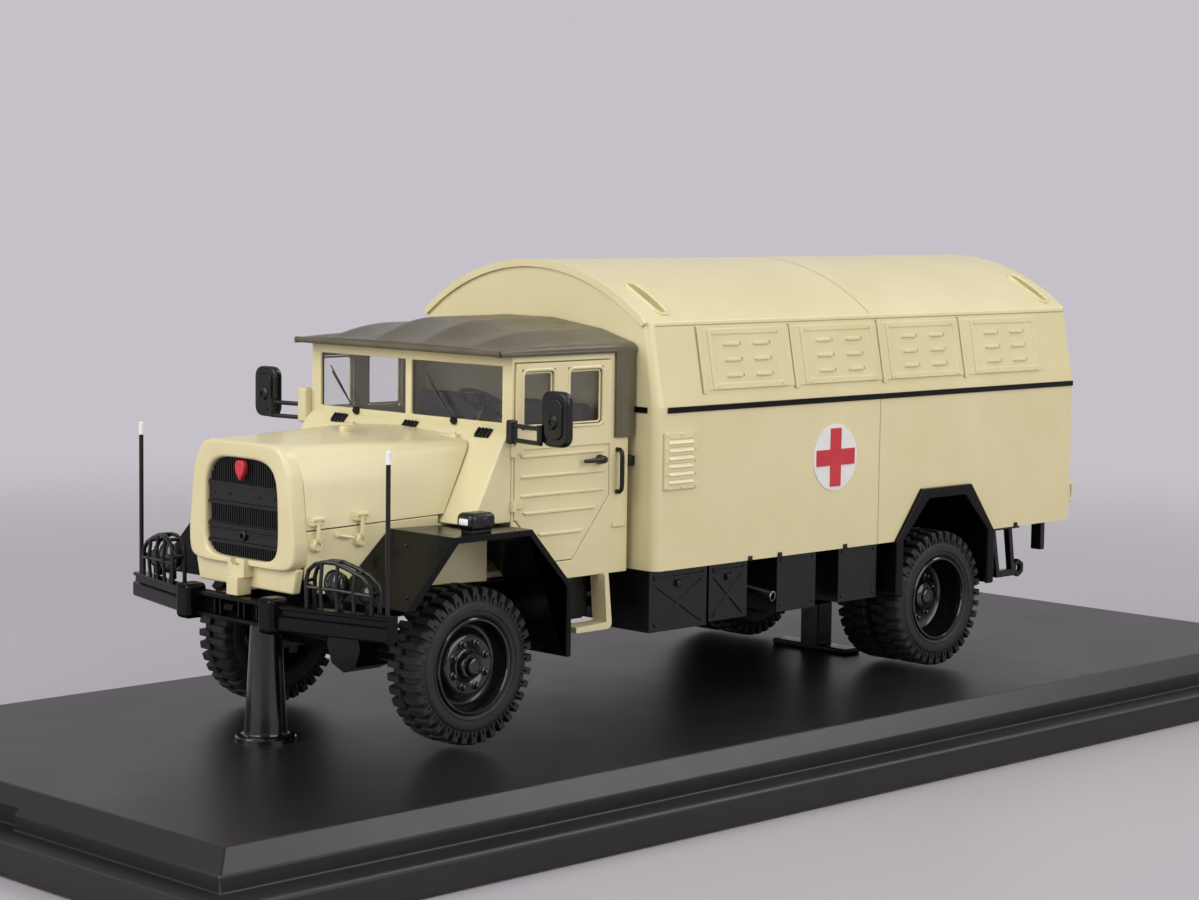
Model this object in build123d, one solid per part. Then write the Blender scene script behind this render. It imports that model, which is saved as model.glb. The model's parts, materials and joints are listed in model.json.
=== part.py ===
"""Scale model of a military ambulance truck on its display plinth.

Millimetres. Row frame: origin under the middle of the plinth, +X to the truck's front, +Y to its left.
The truck's own pieces are drawn with the front axle's centre above their origin and z = 0 on the deck
of the plinth, and `place` moves them into the row frame.
"""
import os
from math import atan2, cos, hypot, pi, sin

from build123d import *

os.makedirs("parts", exist_ok=True)

# Plinth: a flat deck with a bevelled rim, and a ledge round it for a clear cover
deck_length = 244.3
deck_width = 96.1
rim_bevel = 2.8
rim_upright = 2.2
ledge_width = 5.0
skirt_height = 4.4
skirt_edge = 0.5
plinth_wall = 2.0
notch_half_width = 6.2
notch_height = 2.8
notch_depth = 1.4
screw_boss_radius = 3.4
screw_boss_height = 5.2

# Where the truck stands on the deck
front_axle_setback = 61.8
wheelbase = 104.5
hub_height = 12.0

# Overall widths of the body, as half-widths from the truck's middle
box_half_width = 27.75
cab_half_width = 22.9
wing_half_width = 28.8

# Wheels
tyre_radius = 11.5
lug_height = 0.9
lugs_per_row = 20
lug_foot_share = 0.66
lug_head_share = 0.48
front_tyre_width = 6.5
twin_tyre_width = 6.2
twin_gap = 1.0
front_tyre_inset = 3.5
rear_tyre_inset = 0.45
rim_radius = 6.9
rim_wall = 0.5
rim_seat_gap = 0.02
bead_inset = 0.65
front_dish_depth = 2.2
rear_dish_depth = 4.9
hub_radius = 2.6
hub_sides = 12
hub_stand_out = 0.3
rear_hub_stand_out = 2.6
bore_past_hub = 20.0
hub_cap_thickness = 0.8
axle_stub_radius = 1.2
running_clearance = 0.06
end_clearance = 0.3

# Front pillar and rear stand, which carry the truck clear of the deck
pillar_x = 18.0
pillar_flange_radius = 4.5
pillar_flange = 0.8
pillar_foot_radius = 3.2
pillar_head_radius = 2.2
pillar_sides = 8
pillar_flange_sides = 24
stand_bar_length = 17.0
stand_bar_width = 4.0
stand_bar_height = 1.0
stand_post = 4.0
stand_seat = 0.3

# Chassis
rail_height = 3.4
rail_flange = 1.8
rail_wall = 0.6
rail_bottom = 17.4
rail_front_x = 19.4
rail_rear_x = -141.0
cross_member_length = 2.0
axle_tube_radius = 1.7
axle_sides = 8
differential_radius = 3.9
differential_length = 7.0
knuckle_half = 2.4
knuckle_length = 2.0
wheel_side_gap = 0.6
kingpin_width = 1.6
kingpin_reach = 3.4
brake_drum_radius = 3.4
brake_drum_length = 1.4
spring_clearance = 2.6
spring_seat_half = 1.5
stand_room = 1.0
spring_width = 1.6
spring_leaf = 0.5
spring_pad = 0.4
spring_hanger = 1.2
leaf_flat_share = 0.25
front_leaf_count = 2
rear_leaf_count = 3
shaft_radius = 0.9

# Load box
box_front_x = -34.3
box_rear_x = -140.3
box_bottom = 22.8
box_belt = 47.6
belt_height = 0.9
belt_proud = 0.25
belt_end_gap = 0.5
eave_tuck = 2.45
eave_height = 60.3
roof_height = 69.2
box_wall = 1.2
box_floor = 1.4
box_corner_radius = 1.6
roof_rim_width = 1.1
roof_rim_proud = 0.5

# Rear wheel arch, as a trapezoid about the rear axle
arch_top_half = 6.7
arch_foot_half = 13.3
arch_top = 31.2
arch_inner_clearance = 1.3
mudguard_wall = 0.9
mudguard_lip = 1.8
mudguard_foot = 13.6
mudguard_stand_out = 0.7

# Cab
cab_front_x = -8.9
cab_rear_x = -33.0
cab_bottom = 22.6
cab_top = 55.9
cab_wall = 0.9
screen_foot = 46.2
screen_head = 54.4
screen_half_width = 20.7
screen_post_half = 0.7
glass_thickness = 0.5
panel_gap = 0.12

# Doors
door_front_x = -9.4
door_rear_x = -29.0
door_top = 55.0
door_bottom = 25.3
door_slant_foot_x = -21.4
door_slant_top = 34.4
door_notch_x = -9.8
door_frame_foot = 42.3
door_frame_proud = 0.35
door_rib_height = 0.4
door_rib_proud = 0.3
door_rib_inset = 1.3
door_pane_foot = 45.2
door_pane_head = 54.0

# Canvas roof
canvas_front_x = -5.9
canvas_rear_x = -33.9
canvas_overhang = 0.7
canvas_skirt = 1.7
canvas_rise = 3.3
canvas_skin = 0.9
canvas_flap_front_x = -29.9
canvas_flap_foot = 43.0
canvas_flap_thickness = 0.5

# Bonnet, radiator shell and scuttle
shell_front_x = 22.7
shell_rear_x = 20.3
shell_bottom = 26.0
bonnet_skin = 0.7
bonnet_gap = 0.3
grille_half_width = 8.3
grille_bottom = 27.0
grille_top = 41.3
grille_shoulder = 36.5
grille_foot_rise = 1.0
grille_recess = 0.7
grille_plate = 0.5
slat_count = 9
slat_width = 0.5
apron_setback = 1.0
shell_tuck = 0.3
apron_taper = 1.0
side_panel_bottom = 22.7
panel_skin = 0.8
scuttle_wall = 0.8
engine_side_clearance = 2.1
engine_rear_x = -0.4
engine_front_x = 15.0
engine_top = 36.0
engine_foot_thickness = 1.0
engine_foot_half = 2.0

# Front wings
wing_skin = 0.8
wing_lip = 0.9
wing_front_flange = 1.7
wing_lip_thickness = 0.5
wing_flap_foot = 12.2

# Side lockers
locker_inner_y = 16.5
locker_outer_y = 26.4
locker_rib_width = 0.5
locker_rib_proud = 0.25

# Small pieces
bar_thickness = 0.55
bar_sides = 6
small_sides = 12
rod_radius = 0.4
# How far a cutter runs past what it cuts, and a length that is past every piece
overshoot = 1.0
far = 60.0

# Places that follow from the sizes above
plinth_height = skirt_height + rim_upright + rim_bevel
place = Pos(deck_length / 2 - front_axle_setback, 0, plinth_height)
rear_axle_x = -wheelbase
rail_top = rail_bottom + rail_height
stand_places = (pillar_x, rear_axle_x)
stand_head = hub_height - differential_radius + stand_seat
front_tyre_face_y = wing_half_width - front_tyre_inset
rear_tyre_face_y = box_half_width - rear_tyre_inset
rear_drum_y = rear_tyre_face_y - 2 * twin_tyre_width - twin_gap - wheel_side_gap
spring_y = rear_drum_y - brake_drum_length - spring_clearance - spring_width / 2
rail_half_spacing = spring_y - rail_flange / 2
rail_outer_y = rail_half_spacing + rail_flange
rear_hub_end = rear_tyre_face_y - rear_dish_depth + rear_hub_stand_out
arch_inner_y = rear_tyre_face_y - 2 * twin_tyre_width - twin_gap - arch_inner_clearance
eave_half_width = box_half_width - eave_tuck
door_outer_y = cab_half_width + door_frame_proud
standing = (Align.CENTER, Align.CENTER, Align.MIN)


def block(x0, x1, y0, y1, z0, z1):
    """A box between two corners."""
    centre = Pos((x0 + x1) / 2, (y0 + y1) / 2, (z0 + z1) / 2)
    return centre * Box(abs(x1 - x0), abs(y1 - y0), abs(z1 - z0))


def along_y(points, y0, y1):
    """A prism along Y of an outline given as (x, z)."""
    face = make_face(Polyline(*[(x, y0, z) for x, z in points], close=True))
    return extrude(face, amount=y1 - y0, dir=(0, 1, 0))


def along_x(points, x0, x1):
    """A prism along X of an outline given as (y, z)."""
    face = make_face(Polyline(*[(x0, y, z) for y, z in points], close=True))
    return extrude(face, amount=x1 - x0, dir=(1, 0, 0))


def along_z(points, z0, z1):
    """A prism along Z of an outline given as (x, y)."""
    face = make_face(Polyline(*[(x, y, z0) for x, y in points], close=True))
    return extrude(face, amount=z1 - z0, dir=(0, 0, 1))


def other_side(shape):
    """The same shape on the truck's other side."""
    return mirror(shape, about=Plane.XZ)


def both_sides(shape):
    """A shape and its mirror image across the truck's middle."""
    return shape + other_side(shape)


def joined(shapes):
    """One shape of all those in a row."""
    shapes = list(shapes)
    whole = shapes[0]
    for shape in shapes[1:]:
        whole += shape
    return whole


def rod(start, end, radius, sides=0):
    """A bar between two points, round, or with flats where it is small."""
    run = Vector(*end) - Vector(*start)
    plane = Plane(origin=start, z_dir=run)
    if sides:
        return plane * extrude(RegularPolygon(radius, sides), amount=run.length)
    return plane * Cylinder(radius, run.length, align=standing)


def write(name, shape, location=place):
    """Moves a piece into the row frame and writes it."""
    export_step(location * shape, f"parts/{name}.step")


# Plinth and the two stands
def plinth():
    base_length = deck_length + 2 * rim_bevel
    base_width = deck_width + 2 * rim_bevel
    skirt = Box(base_length + 2 * ledge_width, base_width + 2 * ledge_width, skirt_height, align=standing)
    skirt = chamfer(skirt.faces().sort_by(Axis.Z)[-1].edges(), skirt_edge)
    rim = Pos(0, 0, skirt_height) * Box(base_length, base_width, rim_upright + rim_bevel, align=standing)
    rim = chamfer(rim.faces().sort_by(Axis.Z)[-1].edges(), rim_bevel)
    cavity_length = base_length - 2 * plinth_wall
    cavity_width = base_width - 2 * plinth_wall
    body = skirt + rim - Box(cavity_length, cavity_width, plinth_height - plinth_wall, align=standing)
    for end in (-1, 1):
        notch = Box(2 * notch_depth, 2 * notch_half_width, notch_height, align=standing)
        body -= Pos(end * base_length / 2, 0, skirt_height) * notch
    for x in stand_places:
        top = -plinth_wall / 2
        body += place * rod((x, 0, top - screw_boss_height), (x, 0, top), screw_boss_radius, small_sides)
    return body


def front_pillar():
    """A tapered post on a round flange."""
    flange = rod((pillar_x, 0, 0), (pillar_x, 0, pillar_flange), pillar_flange_radius, pillar_flange_sides)
    foot = Pos(pillar_x, 0, pillar_flange) * RegularPolygon(pillar_foot_radius, pillar_sides)
    head = Pos(pillar_x, 0, rail_bottom) * RegularPolygon(pillar_head_radius, pillar_sides)
    return flange + loft([foot, head], ruled=True)


def rear_stand():
    half_length, half_width, half_post = stand_bar_length / 2, stand_bar_width / 2, stand_post / 2
    x = rear_axle_x
    bar = block(x - half_width, x + half_width, -half_length, half_length, 0, stand_bar_height)
    return bar + block(x - half_post, x + half_post, -half_post, half_post, stand_bar_height, stand_head)


# Wheels: the tyre's bore and the rim's seat have one flat to each lug
def wheel_plane(x, y):
    return Plane(origin=(x, y, hub_height), x_dir=(1, 0, 0), z_dir=(0, 1, 0))


def drum(x, radius, y0, y1):
    """A disc on the wheel's axis with one flat to each lug."""
    flats = RegularPolygon(radius, lugs_per_row, major_radius=False)
    return wheel_plane(x, y0) * extrude(flats, amount=y1 - y0)


def lug_row(x, y0, y1, turn):
    """One row of lugs on its half of the tread, turned by a share of the pitch."""
    groove_radius = tyre_radius - lug_height
    # Columns are the share of the pitch from the lug's middle, and the radius
    corners = (
        (-lug_foot_share / 2, groove_radius),
        (-lug_head_share / 2, tyre_radius),
        (lug_head_share / 2, tyre_radius),
        (lug_foot_share / 2, groove_radius),
    )
    pitch = 2 * pi / lugs_per_row
    outline = []
    for lug in range(lugs_per_row):
        for share, radius in corners:
            angle = (lug + turn + share) * pitch
            outline.append((radius * cos(angle), radius * sin(angle)))
    return wheel_plane(x, y0) * extrude(make_face(Polyline(*outline, close=True)), amount=y1 - y0)


def tyre(x, face_y, width, inner_turn=0.5):
    """A tyre whose outer face is at face_y, its inner row of lugs turned from the outer one."""
    middle = face_y - width / 2
    if inner_turn:
        rows = lug_row(x, middle, face_y, 0) + lug_row(x, face_y - width, middle, inner_turn)
    else:
        rows = lug_row(x, face_y - width, face_y, 0)
    return rows - drum(x, rim_radius + rim_seat_gap, face_y - width - overshoot, face_y + overshoot)


def rim(x, face_y, width, dish_depth):
    """A rim for a tyre of that width, with its disc set back in it."""
    outer, inner = face_y - bead_inset, face_y - width + bead_inset
    seat = drum(x, rim_radius, inner, outer)
    return seat - drum(x, rim_radius - rim_wall, face_y - dish_depth, outer + overshoot)


def hub(x, outer, inner):
    """The hub from its cap inwards, and the bore that its axle's stub runs in."""
    body = rod((x, inner, hub_height), (x, outer, hub_height), hub_radius, hub_sides)
    bore_end = outer - hub_cap_thickness
    bore_radius = axle_stub_radius + running_clearance
    bore = rod((x, inner - bore_past_hub, hub_height), (x, bore_end, hub_height), bore_radius)
    return body, bore


def front_rim():
    inner = front_tyre_face_y - front_tyre_width + bead_inset
    body, bore = hub(0, front_tyre_face_y + hub_stand_out, inner)
    return rim(0, front_tyre_face_y, front_tyre_width, front_dish_depth) + body - bore


def rear_rims():
    """Two rims on one hub, the outer one's disc deep inside it."""
    inner_face = rear_tyre_face_y - twin_tyre_width - twin_gap
    outer_rim = rim(rear_axle_x, rear_tyre_face_y, twin_tyre_width, rear_dish_depth)
    pair = outer_rim + rim(rear_axle_x, inner_face, twin_tyre_width, 0)
    body, bore = hub(rear_axle_x, rear_hub_end, inner_face - twin_tyre_width + bead_inset)
    return pair + body - bore


# Axles, with their knuckles, drums and springs
def upright_on_axle(half_length, y0, y1, reach):
    """A block on the front axle's line, as far above it as below."""
    return block(-half_length, half_length, y0, y1, hub_height - reach, hub_height + reach)


def front_axle():
    stub_end = front_tyre_face_y + hub_stand_out - hub_cap_thickness - end_clearance
    knuckle_y = front_tyre_face_y - front_tyre_width - wheel_side_gap
    inner_y = knuckle_y - knuckle_length
    half_pin = kingpin_width / 2
    half = joined(
        (
            rod((0, knuckle_y, hub_height), (0, stub_end, hub_height), axle_stub_radius),
            upright_on_axle(knuckle_half, inner_y, knuckle_y, knuckle_half),
            upright_on_axle(half_pin, inner_y, knuckle_y, kingpin_reach),
            rod((0, 0, hub_height), (0, inner_y, hub_height), axle_tube_radius, axle_sides),
            spring_seat(0),
        )
    )
    return both_sides(half) + differential(0)


def rear_axle():
    stub_end = rear_hub_end - hub_cap_thickness - end_clearance
    drum_y, inner_y = rear_drum_y, rear_drum_y - brake_drum_length
    x = rear_axle_x
    half = joined(
        (
            rod((x, drum_y, hub_height), (x, stub_end, hub_height), axle_stub_radius),
            rod((x, inner_y, hub_height), (x, drum_y, hub_height), brake_drum_radius, axle_sides),
            rod((x, 0, hub_height), (x, drum_y, hub_height), axle_tube_radius, axle_sides),
            spring_seat(x),
        )
    )
    post_room = stand_post / 2 + stand_room
    over_stand = block(x - post_room, x + post_room, -post_room, post_room, 0, stand_head)
    return both_sides(half) + differential(x) - over_stand


def spring_seat(x):
    """The pad on the axle tube that the spring sits on."""
    top = hub_height + axle_tube_radius + spring_pad
    half = spring_width / 2
    ends = (x - spring_seat_half, x + spring_seat_half)
    return block(*ends, spring_y - half, spring_y + half, hub_height, top)


def differential(x):
    half = differential_length / 2
    return rod((x - half, 0, hub_height), (x + half, 0, hub_height), differential_radius, axle_sides)


# Columns are the axle's x, the spring's half length and its number of leaves
springs = ((0.0, 15.0, front_leaf_count), (rear_axle_x, 16.5, rear_leaf_count))


def leaf(x, reach, low, lift):
    """One leaf, flat over the axle and bent up to its ends."""
    shape = [(-1, 1), (-leaf_flat_share, 0), (leaf_flat_share, 0), (1, 1)]
    upper = [(x + reach * share, low + spring_leaf + lift * rise) for share, rise in shape]
    lower = [(x + reach * share, low + lift * rise) for share, rise in reversed(shape)]
    return along_y(upper + lower, spring_y - spring_width / 2, spring_y + spring_width / 2)


def leaf_springs():
    """A pack on each axle tube, with a hanger up to the rail at each end."""
    packs = []
    seat = hub_height + axle_tube_radius + spring_pad
    for x, half_length, leaves in springs:
        rise = rail_bottom - 2 * spring_leaf - seat - leaves * spring_leaf
        for count in range(leaves):
            share = (count + 1) / leaves
            packs.append(leaf(x, half_length * share, seat + count * spring_leaf, rise * share * share))
        for end in (-1, 1):
            eye_x = x + end * (half_length - spring_hanger / 2)
            packs.append(
                block(
                    eye_x - spring_hanger / 2,
                    eye_x + spring_hanger / 2,
                    spring_y - spring_width / 2,
                    spring_y + spring_width / 2,
                    rail_bottom - 3 * spring_leaf,
                    rail_bottom,
                )
            )
    return both_sides(joined(packs))


cross_member_places = (pillar_x, -22.0, -58.0, -88.0, -124.0, rail_rear_x + cross_member_length / 2)


def chassis_frame():
    """Two rails of channel section, open inwards, and the members between them."""
    inner, outer = rail_half_spacing, rail_outer_y
    channel = [
        (outer, rail_bottom),
        (outer, rail_top),
        (inner, rail_top),
        (inner, rail_top - rail_wall),
        (outer - rail_wall, rail_top - rail_wall),
        (outer - rail_wall, rail_bottom + rail_wall),
        (inner, rail_bottom + rail_wall),
        (inner, rail_bottom),
    ]
    frame = both_sides(along_x(channel, rail_rear_x, rail_front_x))
    half = cross_member_length / 2
    reach = outer - rail_wall
    for x in cross_member_places:
        frame += block(x - half, x + half, -reach, reach, rail_bottom, rail_top - rail_wall)
    return frame


transfer_case_front_x = -46.0
transfer_case_rear_x = -54.0
transfer_case_half_width = 3.6
transfer_case_half_height = 2.4
transfer_case_z = 14.0
hanger_inset = 3.0
hanger_thickness = 0.8


def propeller_shafts():
    """The transfer case under the frame and the shafts from it to both axles."""
    front_x, rear_x = transfer_case_front_x, transfer_case_rear_x
    half = transfer_case_half_width
    case = block(rear_x, front_x, -half, half, transfer_case_z - transfer_case_half_height, rail_bottom)
    hanger_z = rail_bottom - hanger_thickness
    case += block(
        rear_x + hanger_inset, front_x - hanger_inset, -rail_outer_y, rail_outer_y, hanger_z, rail_bottom
    )
    for end, axle_x, toward in ((front_x, 0, -1), (rear_x, rear_axle_x, 1)):
        casing_x = axle_x + toward * differential_length / 2
        case += rod((end, 0, transfer_case_z), (casing_x, 0, hub_height), shaft_radius, bar_sides)
        casing = differential_radius
        case -= block(axle_x, casing_x, -casing, casing, hub_height - casing, hub_height + casing)
    return case


# Load box
def box_outline(inset):
    """The box's cross-section at x = 0, drawn in by an inset, from the floor round to the roof."""
    low = box_half_width - inset
    eave = eave_half_width - inset
    foot = box_bottom + (box_floor if inset else 0)
    edge = [
        Line((0, -eave, eave_height), (0, -low, box_belt)),
        Line((0, -low, box_belt), (0, -low, foot)),
        Line((0, -low, foot), (0, low, foot)),
        Line((0, low, foot), (0, low, box_belt)),
        Line((0, low, box_belt), (0, eave, eave_height)),
        ThreePointArc((0, eave, eave_height), (0, 0, roof_height - inset), (0, -eave, eave_height)),
    ]
    return make_face(Wire(Curve() + edge))


def box_body(inset):
    """The box as a solid, drawn in by an inset on all sides."""
    length = box_front_x - box_rear_x - 2 * inset
    return extrude(Pos(box_rear_x + inset, 0, 0) * box_outline(inset), amount=length, dir=(1, 0, 0))


def box_shell():
    body = box_body(0)
    corners = body.edges().filter_by(lambda edge: is_front_corner(edge))
    return fillet(corners, box_corner_radius) - box_body(box_wall)


def is_front_corner(edge):
    """Whether an edge is one of the box's front corners, below or above the belt."""
    middle = edge.center()
    upright = abs(edge.position_at(0).Z - edge.position_at(1).Z) > box_wall
    return upright and middle.Z < eave_height and abs(middle.X - box_front_x) < panel_gap


def arch_outline(grow, foot):
    """The arch's outline, grown outwards, with its legs down to a height."""
    ahead, behind = rear_axle_x + arch_foot_half + grow, rear_axle_x - arch_foot_half - grow
    return [
        (ahead, foot),
        (ahead, box_bottom),
        (rear_axle_x + arch_top_half + grow, arch_top + grow),
        (rear_axle_x - arch_top_half - grow, arch_top + grow),
        (behind, box_bottom),
        (behind, foot),
    ]


def box_lower():
    half = split(box_shell(), bisect_by=Plane.XY.offset(box_belt), keep=Keep.BOTTOM)
    arch = arch_outline(0, box_bottom - overshoot)
    return half - both_sides(along_y(arch, arch_inner_y, box_half_width + overshoot))


def box_upper():
    """The half above the belt, with a raised rim round each end of the roof."""
    half = split(box_shell(), bisect_by=Plane.XY.offset(box_belt), keep=Keep.TOP)
    rim = box_outline(0) - box_outline(roof_rim_width)
    below_eaves = block(-overshoot, overshoot, -box_half_width, box_half_width, 0, eave_height)
    for start in (box_front_x, box_rear_x - roof_rim_proud):
        hoop = extrude(rim, amount=roof_rim_proud, dir=(1, 0, 0)) - below_eaves
        half += Pos(start, 0, 0) * hoop
    return half


def rear_mudguards():
    """The arch's lining, open below, with a flat lip round its outer edge."""
    outer_y = box_half_width + mudguard_stand_out
    lining = along_y(arch_outline(0, mudguard_foot), arch_inner_y, outer_y)
    foot, inner_y = mudguard_foot - overshoot, arch_inner_y + mudguard_wall
    lining -= along_y(arch_outline(-mudguard_wall, foot), inner_y, outer_y + overshoot)
    room = arch_foot_half - mudguard_wall
    lining -= block(rear_axle_x - room, rear_axle_x + room, 0, inner_y, 0, box_bottom)
    lip = along_y(arch_outline(0, mudguard_foot), box_half_width, outer_y)
    lip -= along_y(arch_outline(-mudguard_lip, foot), box_half_width - overshoot, outer_y + overshoot)
    return both_sides(lining + lip)


def belt_strips():
    """The dark strip along each side and across the front, over the seam between the box's two halves."""
    low, high = box_belt - belt_height, box_belt
    inset = box_corner_radius + belt_end_gap
    side = block(box_rear_x, box_front_x - inset, box_half_width, box_half_width + belt_proud, low, high)
    reach = box_half_width - inset
    front = block(box_front_x, box_front_x + belt_proud, -reach, reach, low, high)
    return both_sides(side) + front


def on_upper_side(x, height):
    """A plane on the box's left upper side, which leans inwards, at a height above the belt."""
    side_rise = eave_height - box_belt
    slope = hypot(side_rise, eave_tuck)
    y = box_half_width - eave_tuck * (height - box_belt) / side_rise
    return Plane(origin=(x, y, height), x_dir=(1, 0, 0), z_dir=(0, side_rise / slope, eave_tuck / slope))


# Columns are each vent flap's front x and rear x
flaps = ((-46.9, -63.9), (-68.5, -86.6), (-90.0, -108.5), (-112.6, -130.7))
flap_height = 9.4
flap_middle_z = 54.4
flap_frame = 0.9
flap_proud = 0.35
flap_divider_height = 10.4
flap_divider_x = (-45.0, -66.4, -88.2, -109.9)


def vent_flaps():
    """Framed flaps along the upper side, with an upright strip ahead of each."""
    row = []
    for front_x, rear_x in flaps:
        length = front_x - rear_x
        panel = Box(length, flap_height, flap_proud, align=standing)
        pocket = Box(length - 2 * flap_frame, flap_height - 2 * flap_frame, flap_proud, align=standing)
        panel -= Pos(0, 0, flap_proud / 2) * pocket
        row.append(on_upper_side((front_x + rear_x) / 2, flap_middle_z) * panel)
    for x in flap_divider_x:
        strip = Box(2 * flap_proud, flap_divider_height, flap_proud, align=standing)
        row.append(on_upper_side(x, flap_middle_z) * strip)
    return both_sides(joined(row))


vent_front_x = -35.6
vent_rear_x = -42.8
vent_foot = 35.1
vent_head = 43.8
vent_slats = 6
vent_frame = 1.0
vent_slot_share = 0.2
vent_proud = 0.4


def vent_panels():
    """A framed plate behind the box's front corner with slats across it."""
    outer = box_half_width + vent_proud
    plate = block(vent_rear_x, vent_front_x, box_half_width, outer, vent_foot, vent_head)
    pitch = (vent_head - vent_foot) / (vent_slats + 1)
    for slat in range(vent_slats):
        z = vent_foot + pitch * (slat + 1)
        half = pitch * vent_slot_share
        slot_x = (vent_rear_x + vent_frame, vent_front_x - vent_frame)
        plate -= block(*slot_x, outer - vent_proud / 2, outer + overshoot, z - half, z + half)
    return both_sides(plate)


rear_leaf_width = 11.6
rear_door_foot = 25.0
rear_door_head = 58.0
rear_door_proud = 0.5
rear_bolt_y = 1.7
rear_bolt_width = 0.6
rear_bolt_inset = 2.0
rear_hinge_width = 3.0
rear_hinge_height = 1.4
rear_hinge_proud = 0.4
rear_hinge_inset = 5.0


def rear_door():
    """Two leaves side by side on the rear wall, each with a bolt rod and two hinge blocks."""
    x = box_rear_x - rear_door_proud
    half = rear_bolt_width / 2
    foot, head = rear_door_foot, rear_door_head
    one = block(x, box_rear_x, panel_gap, rear_leaf_width, foot, head)
    bolt_x = x - rear_door_proud
    bolt_z = (foot + rear_bolt_inset, head - rear_bolt_inset)
    one += block(bolt_x, x, rear_bolt_y - half, rear_bolt_y + half, *bolt_z)
    inner, outer = rear_leaf_width - rear_hinge_width / 2, rear_leaf_width + rear_hinge_width / 2
    rise = rear_hinge_height / 2
    for z in (foot + rear_hinge_inset, head - rear_hinge_inset):
        one += block(x - rear_hinge_proud, box_rear_x, inner, outer, z - rise, z + rise)
    return both_sides(one)


disc_x = -75.6
disc_z = 37.8
disc_radius = 5.4
disc_thickness = 0.12
disc_sides = 32
cross_length = 9.4
cross_arm = 2.6


def medical_discs():
    """White discs for the traditional medical sign."""
    start = (disc_x, box_half_width, disc_z)
    return both_sides(rod(start, (disc_x, box_half_width + disc_thickness, disc_z), disc_radius, disc_sides))


def medical_crosses():
    y0 = box_half_width + disc_thickness
    long, short = cross_length / 2, cross_arm / 2
    upright = block(disc_x - short, disc_x + short, y0, y0 + disc_thickness, disc_z - long, disc_z + long)
    level = block(disc_x - long, disc_x + long, y0, y0 + disc_thickness, disc_z - short, disc_z + short)
    return both_sides(upright + level)


# Cab
def scuttle_profile():
    """The sloped body's side outline, from the wings up to the windscreen's foot."""
    return [
        (scuttle_toe_x, scuttle_foot),
        (scuttle_knee_x, scuttle_knee),
        (cab_front_x, scuttle_head),
        (cab_front_x, scuttle_foot),
    ]


scuttle_toe_x = -1.0
scuttle_foot = 31.8
scuttle_knee_x = -7.2
scuttle_knee = 43.6
scuttle_head = 45.4


def scuttle():
    """The sloped body between the bonnet and the windscreen, hollow from behind."""
    toe, knee, head, heel = scuttle_profile()
    body = along_y([toe, knee, head, heel], -cab_half_width, cab_half_width)
    inner = [
        (toe[0] - 2 * scuttle_wall, toe[1] + scuttle_wall),
        (knee[0] - scuttle_wall / 2, knee[1] - scuttle_wall),
        (head[0], head[1] - 2 * scuttle_wall),
        (heel[0], heel[1] + scuttle_wall),
    ]
    reach = cab_half_width - scuttle_wall
    return body - along_y(inner, -reach, reach)


wing_front_x = 16.3
wing_front_z = 21.9
wing_top = 31.5
wing_crest_front_x = 7.4
wing_crest_rear_x = -7.6
wing_rear_x = -15.6
wing_rear_z = 22.9
wing_inner_y = 15.0


def wing_top_line(drop):
    """The wing's line from its front edge over the wheel to the foot of its flap, lowered by a drop."""
    return [
        (wing_front_x - drop, wing_front_z),
        (wing_crest_front_x - drop / 2, wing_top - drop),
        (wing_crest_rear_x + drop / 2, wing_top - drop),
        (wing_rear_x + drop, wing_rear_z - drop / 3),
        (wing_rear_x + drop, wing_flap_foot),
    ]


def wheel_house():
    """The room that the front wings take out of the cab, with a gap above them."""
    gap = panel_gap
    points = [
        (wing_front_x, wing_flap_foot),
        (wing_front_x, wing_top + gap),
        (wing_crest_rear_x - gap, wing_top + gap),
        (wing_rear_x - gap, wing_rear_z),
        (wing_rear_x - gap, wing_flap_foot),
    ]
    return both_sides(along_y(points, wing_inner_y, cab_half_width + overshoot))


def cab_shell():
    half = cab_half_width
    outer = block(cab_rear_x, cab_front_x, -half, half, cab_bottom, cab_top)
    inner = block(
        cab_rear_x + cab_wall,
        cab_front_x - cab_wall,
        cab_wall - half,
        half - cab_wall,
        cab_bottom + cab_wall,
        cab_top + overshoot,
    )
    shell = outer - inner - wheel_house()
    through = (cab_front_x - 2 * cab_wall, cab_front_x + overshoot)
    shell -= both_sides(block(*through, screen_post_half, screen_half_width, screen_foot, screen_head))
    return shell - both_sides(along_y(door_outline(0), half - 2 * cab_wall, half + overshoot))


def door_outline(inset):
    """The door's outline, less its front lower corner where the wing is."""
    wing_run = (wing_crest_rear_x - wing_rear_x) / (wing_top - wing_rear_z)
    above_wing = wing_top + 3 * panel_gap
    foot_x = door_notch_x - wing_run * (above_wing - door_bottom)
    return [
        (door_front_x - inset, door_top - inset),
        (door_front_x - inset, above_wing + inset),
        (door_notch_x - inset, above_wing + inset),
        (foot_x - inset, door_bottom + inset),
        (door_slant_foot_x + inset / 2, door_bottom + inset),
        (door_rear_x + inset, door_slant_top + inset / 2),
        (door_rear_x + inset, door_top - inset),
    ]


# Columns are each door pane's front x and rear x
door_panes = ((-10.6, -17.3), (-19.9, -27.3))
# Heights of the pressed ribs across each door
door_ribs = (41.1, 38.1, 35.3, 32.7, 29.4)


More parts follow.
